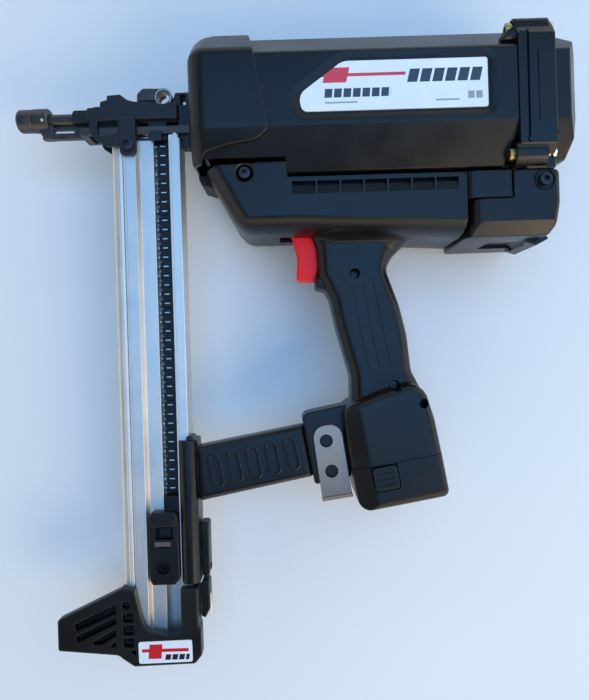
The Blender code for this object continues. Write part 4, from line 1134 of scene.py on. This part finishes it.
def battery_box(u, v, radius=0.0):
    return [on_battery(u[0], v[0], radius), on_battery(u[1], v[0], radius),
            on_battery(u[1], v[1], radius), on_battery(u[0], v[1], radius)]


BATTERY_WIDTH, BATTERY_DEPTH = 65.0, 31.5
BUTTON_U, BUTTON_V = (13.5, 31.0), (1.5, 18.0)


def battery():
    outline = [on_battery(0, -14), on_battery(BATTERY_WIDTH, -14),
               on_battery(BATTERY_WIDTH, BATTERY_DEPTH, 5), on_battery(0, BATTERY_DEPTH, 9)]
    case = slab("battery_shell", outline, -BASE_HALF, BASE_HALF, 5, 5)
    overlap(case, faceted("facets", -60, 60))
    soften(case, 0.55, 3, 0.35)
    pocket = battery_box((BUTTON_U[0] - 0.9, BUTTON_U[1] + 0.9), (-9, 18.9), 3)
    cut(case, slab("top", battery_box((-20, 90), (-40, 0.5)), -60, 60),
        slab("room", battery_box((3, 62), (-10, 28)), -25, 25), *twins(slab, "pocket", pocket, 27.4, 40))
    moulding(case, "grip", "battery_case", "battery")
    grooves = [battery_box((BUTTON_U[0] + 3, BUTTON_U[1] - 3), (v, v + 2), 0.9) for v in (4.5, 8.7, 12.9)]
    for word, span, deep in zip(("left", "right"), both_sides(29.9, 33.4), both_sides(32.7, 40)):
        button = slab(f"release_button_{word}", battery_box(BUTTON_U, BUTTON_V, 2.6), *span, 0.8, 0.8)
        cut(button, *[slab("groove", groove, *deep) for groove in grooves])
        moulding(button, "grip", f"battery_button_{word}", f"button_{word}")


def trigger():
    outline = [
        (206.8, -97.0, 1), (209.6, -111, 18), (208.4, -127.8, 2.5), (223, -127.9, 2.5), (227.6, -111, 16),
        (224.4, -98, 3), (222, -90, 1), (207, -90, 3), (196, -87.4, 2), (186.6, -87.4, 3),
        (186.6, -91.6, 3), (204, -91.6, 2), (206, -94.0, 1),
    ]
    lever = slab("trigger_blade", outline, -9, 9, 2, 2)
    soften(lever, 0.3, 4, 0.4)
    cut(lever, rod("hole", TRIGGER_PIVOT, -20, 20, 2.25))
    piece(lever, "red", "trigger_lever", "red_plastic", "trigger")


def hook_plate():
    outline = [(216.6, -236.5, 9), (237.6, -233.6, 9), (244.6, -285.0, 0.8), (222.6, -288.0, 0.8)]
    plate = slab("belt_hook_plate", outline, TAB_HALF + 0.3, TAB_HALF + 2.3, 0.2, 0.35)
    lip = [(222.6, -288.0, 0.3), (244.6, -285.0, 0.3), (244.9, -286.9, 0.3), (222.9, -289.9, 0.3)]
    join(plate, slab("lip", lip, TAB_HALF + 0.3, TAB_HALF + 6, 0, 0.4, grow=0.15))
    cut(plate, *[rod("hole", c, 5, 30, 4.8, sides=64) for c in HOOK_HOLES])
    # The nickel finish carries a painted warm reflection in its base colour
    piece(plate, "nickel", "frame", "nickel", "hook_plate")


def screws():
    for number, (y, h) in enumerate(UPPER_LUGS + LOWER_LUGS, 1):
        made = cap_screw(f"cover_screw_{number}", (y, h), 360.6, 4.5, 4.4, 2.4, 24, "x", -1)
        piece(made, "brass", "frame", "black_steel", f"flange_screw_{number}")
        profile = [(386.4, 0), (386.4, 3.7), (388.4, 3.7), (388.9, 3.2), (388.9, 0)]
        nut = turned(f"flange_nut_{number}", profile, (y + 1, h), "x", 6)
        piece(cut(nut, rod("bore", (y + 1, h), 380, 400, 1.6, "x")), "steel", "frame", "black_steel")
    rows = [
        ("clamp_screw", CLAMP_SCREW, 13.9, 4.9, 3.4, 2.3, 9.5, 1, "nose_screw"),
        ("hatch_screw_left", DOOR_PIVOT, 41.3, 4.3, 4, 2.35, 9, 1, "door_screw_left"),
        ("hatch_screw_right", DOOR_PIVOT, -41.3, 4.3, 4, 2.35, 9, -1, "door_screw_right"),
        ("cradle_screw", SCREW_FRONT, 37.3, 4.3, 4.6, 2.3, 14, 1, "front_screw"),
        ("handle_screw_top", SCREW_TOP, 8.3, 3.4, 3, 2.3, 17, 1, "grip_screw_top"),
        ("handle_screw_bottom", SCREW_BOTTOM, 11.8, 3.4, 3, 2.3, 21, 1, "grip_screw_bottom"),
    ]
    for name, centre, seat, head, height, shank, length, way, node in rows:
        made = cap_screw(name, centre, seat, head, height, shank, length, "h", way)
        piece(made, "screw", "frame", "black_steel", node)


def build():
    for make in (
        engine_cover, front_guard, rear_flange, rear_cap, housing, front_lip, gas_door,
        probe, guide_tube, nose, release_lever, magazine, nail_strips, pusher, foot,
        bridge, latches, battery, trigger, hook_plate, screws,
    ):
        make()
    dress("turned_aluminium", "piston", "chamber_sleeve", "cylinder_head")
    dress("steel", "actuator", "driver_blade", "cylinder", "spark_plug", "fan_motor", "fan", "chamber_spring",
          "trigger_spring", "trigger_pin", "pusher_spring")
    dress("rubber", "bumper")
    dress("circuit", "ignition_module", "battery_cells")
    dress("gas", "gas_cell")
    dress("smooth", "battery_lid", "trigger_switch", "hook_stud_1", "hook_stud_2")


FLOOR_HALF = 2.5  # metres


def floor():
    mesh = bpy.data.meshes.new("floor")
    a = FLOOR_HALF
    mesh.from_pydata([(-a, -a, 0), (a, -a, 0), (a, a, 0), (-a, a, 0)], [], [(0, 1, 2, 3)])
    ground = bpy.data.objects.new("floor", mesh)
    bpy.context.scene.collection.objects.link(ground)
    paint = Paint("paper_floor", (0.84, 0.87, 0.9), 0.7)
    slow = paint.noise(420, detail=2)
    paint.set("Base Color", paint.ramp(slow, (0.3, (0.82, 0.865, 0.9)), (0.7, (0.87, 0.885, 0.9))))
    mesh.materials.append(paint.material)


studio()
MATERIALS = materials()
floor()
build()
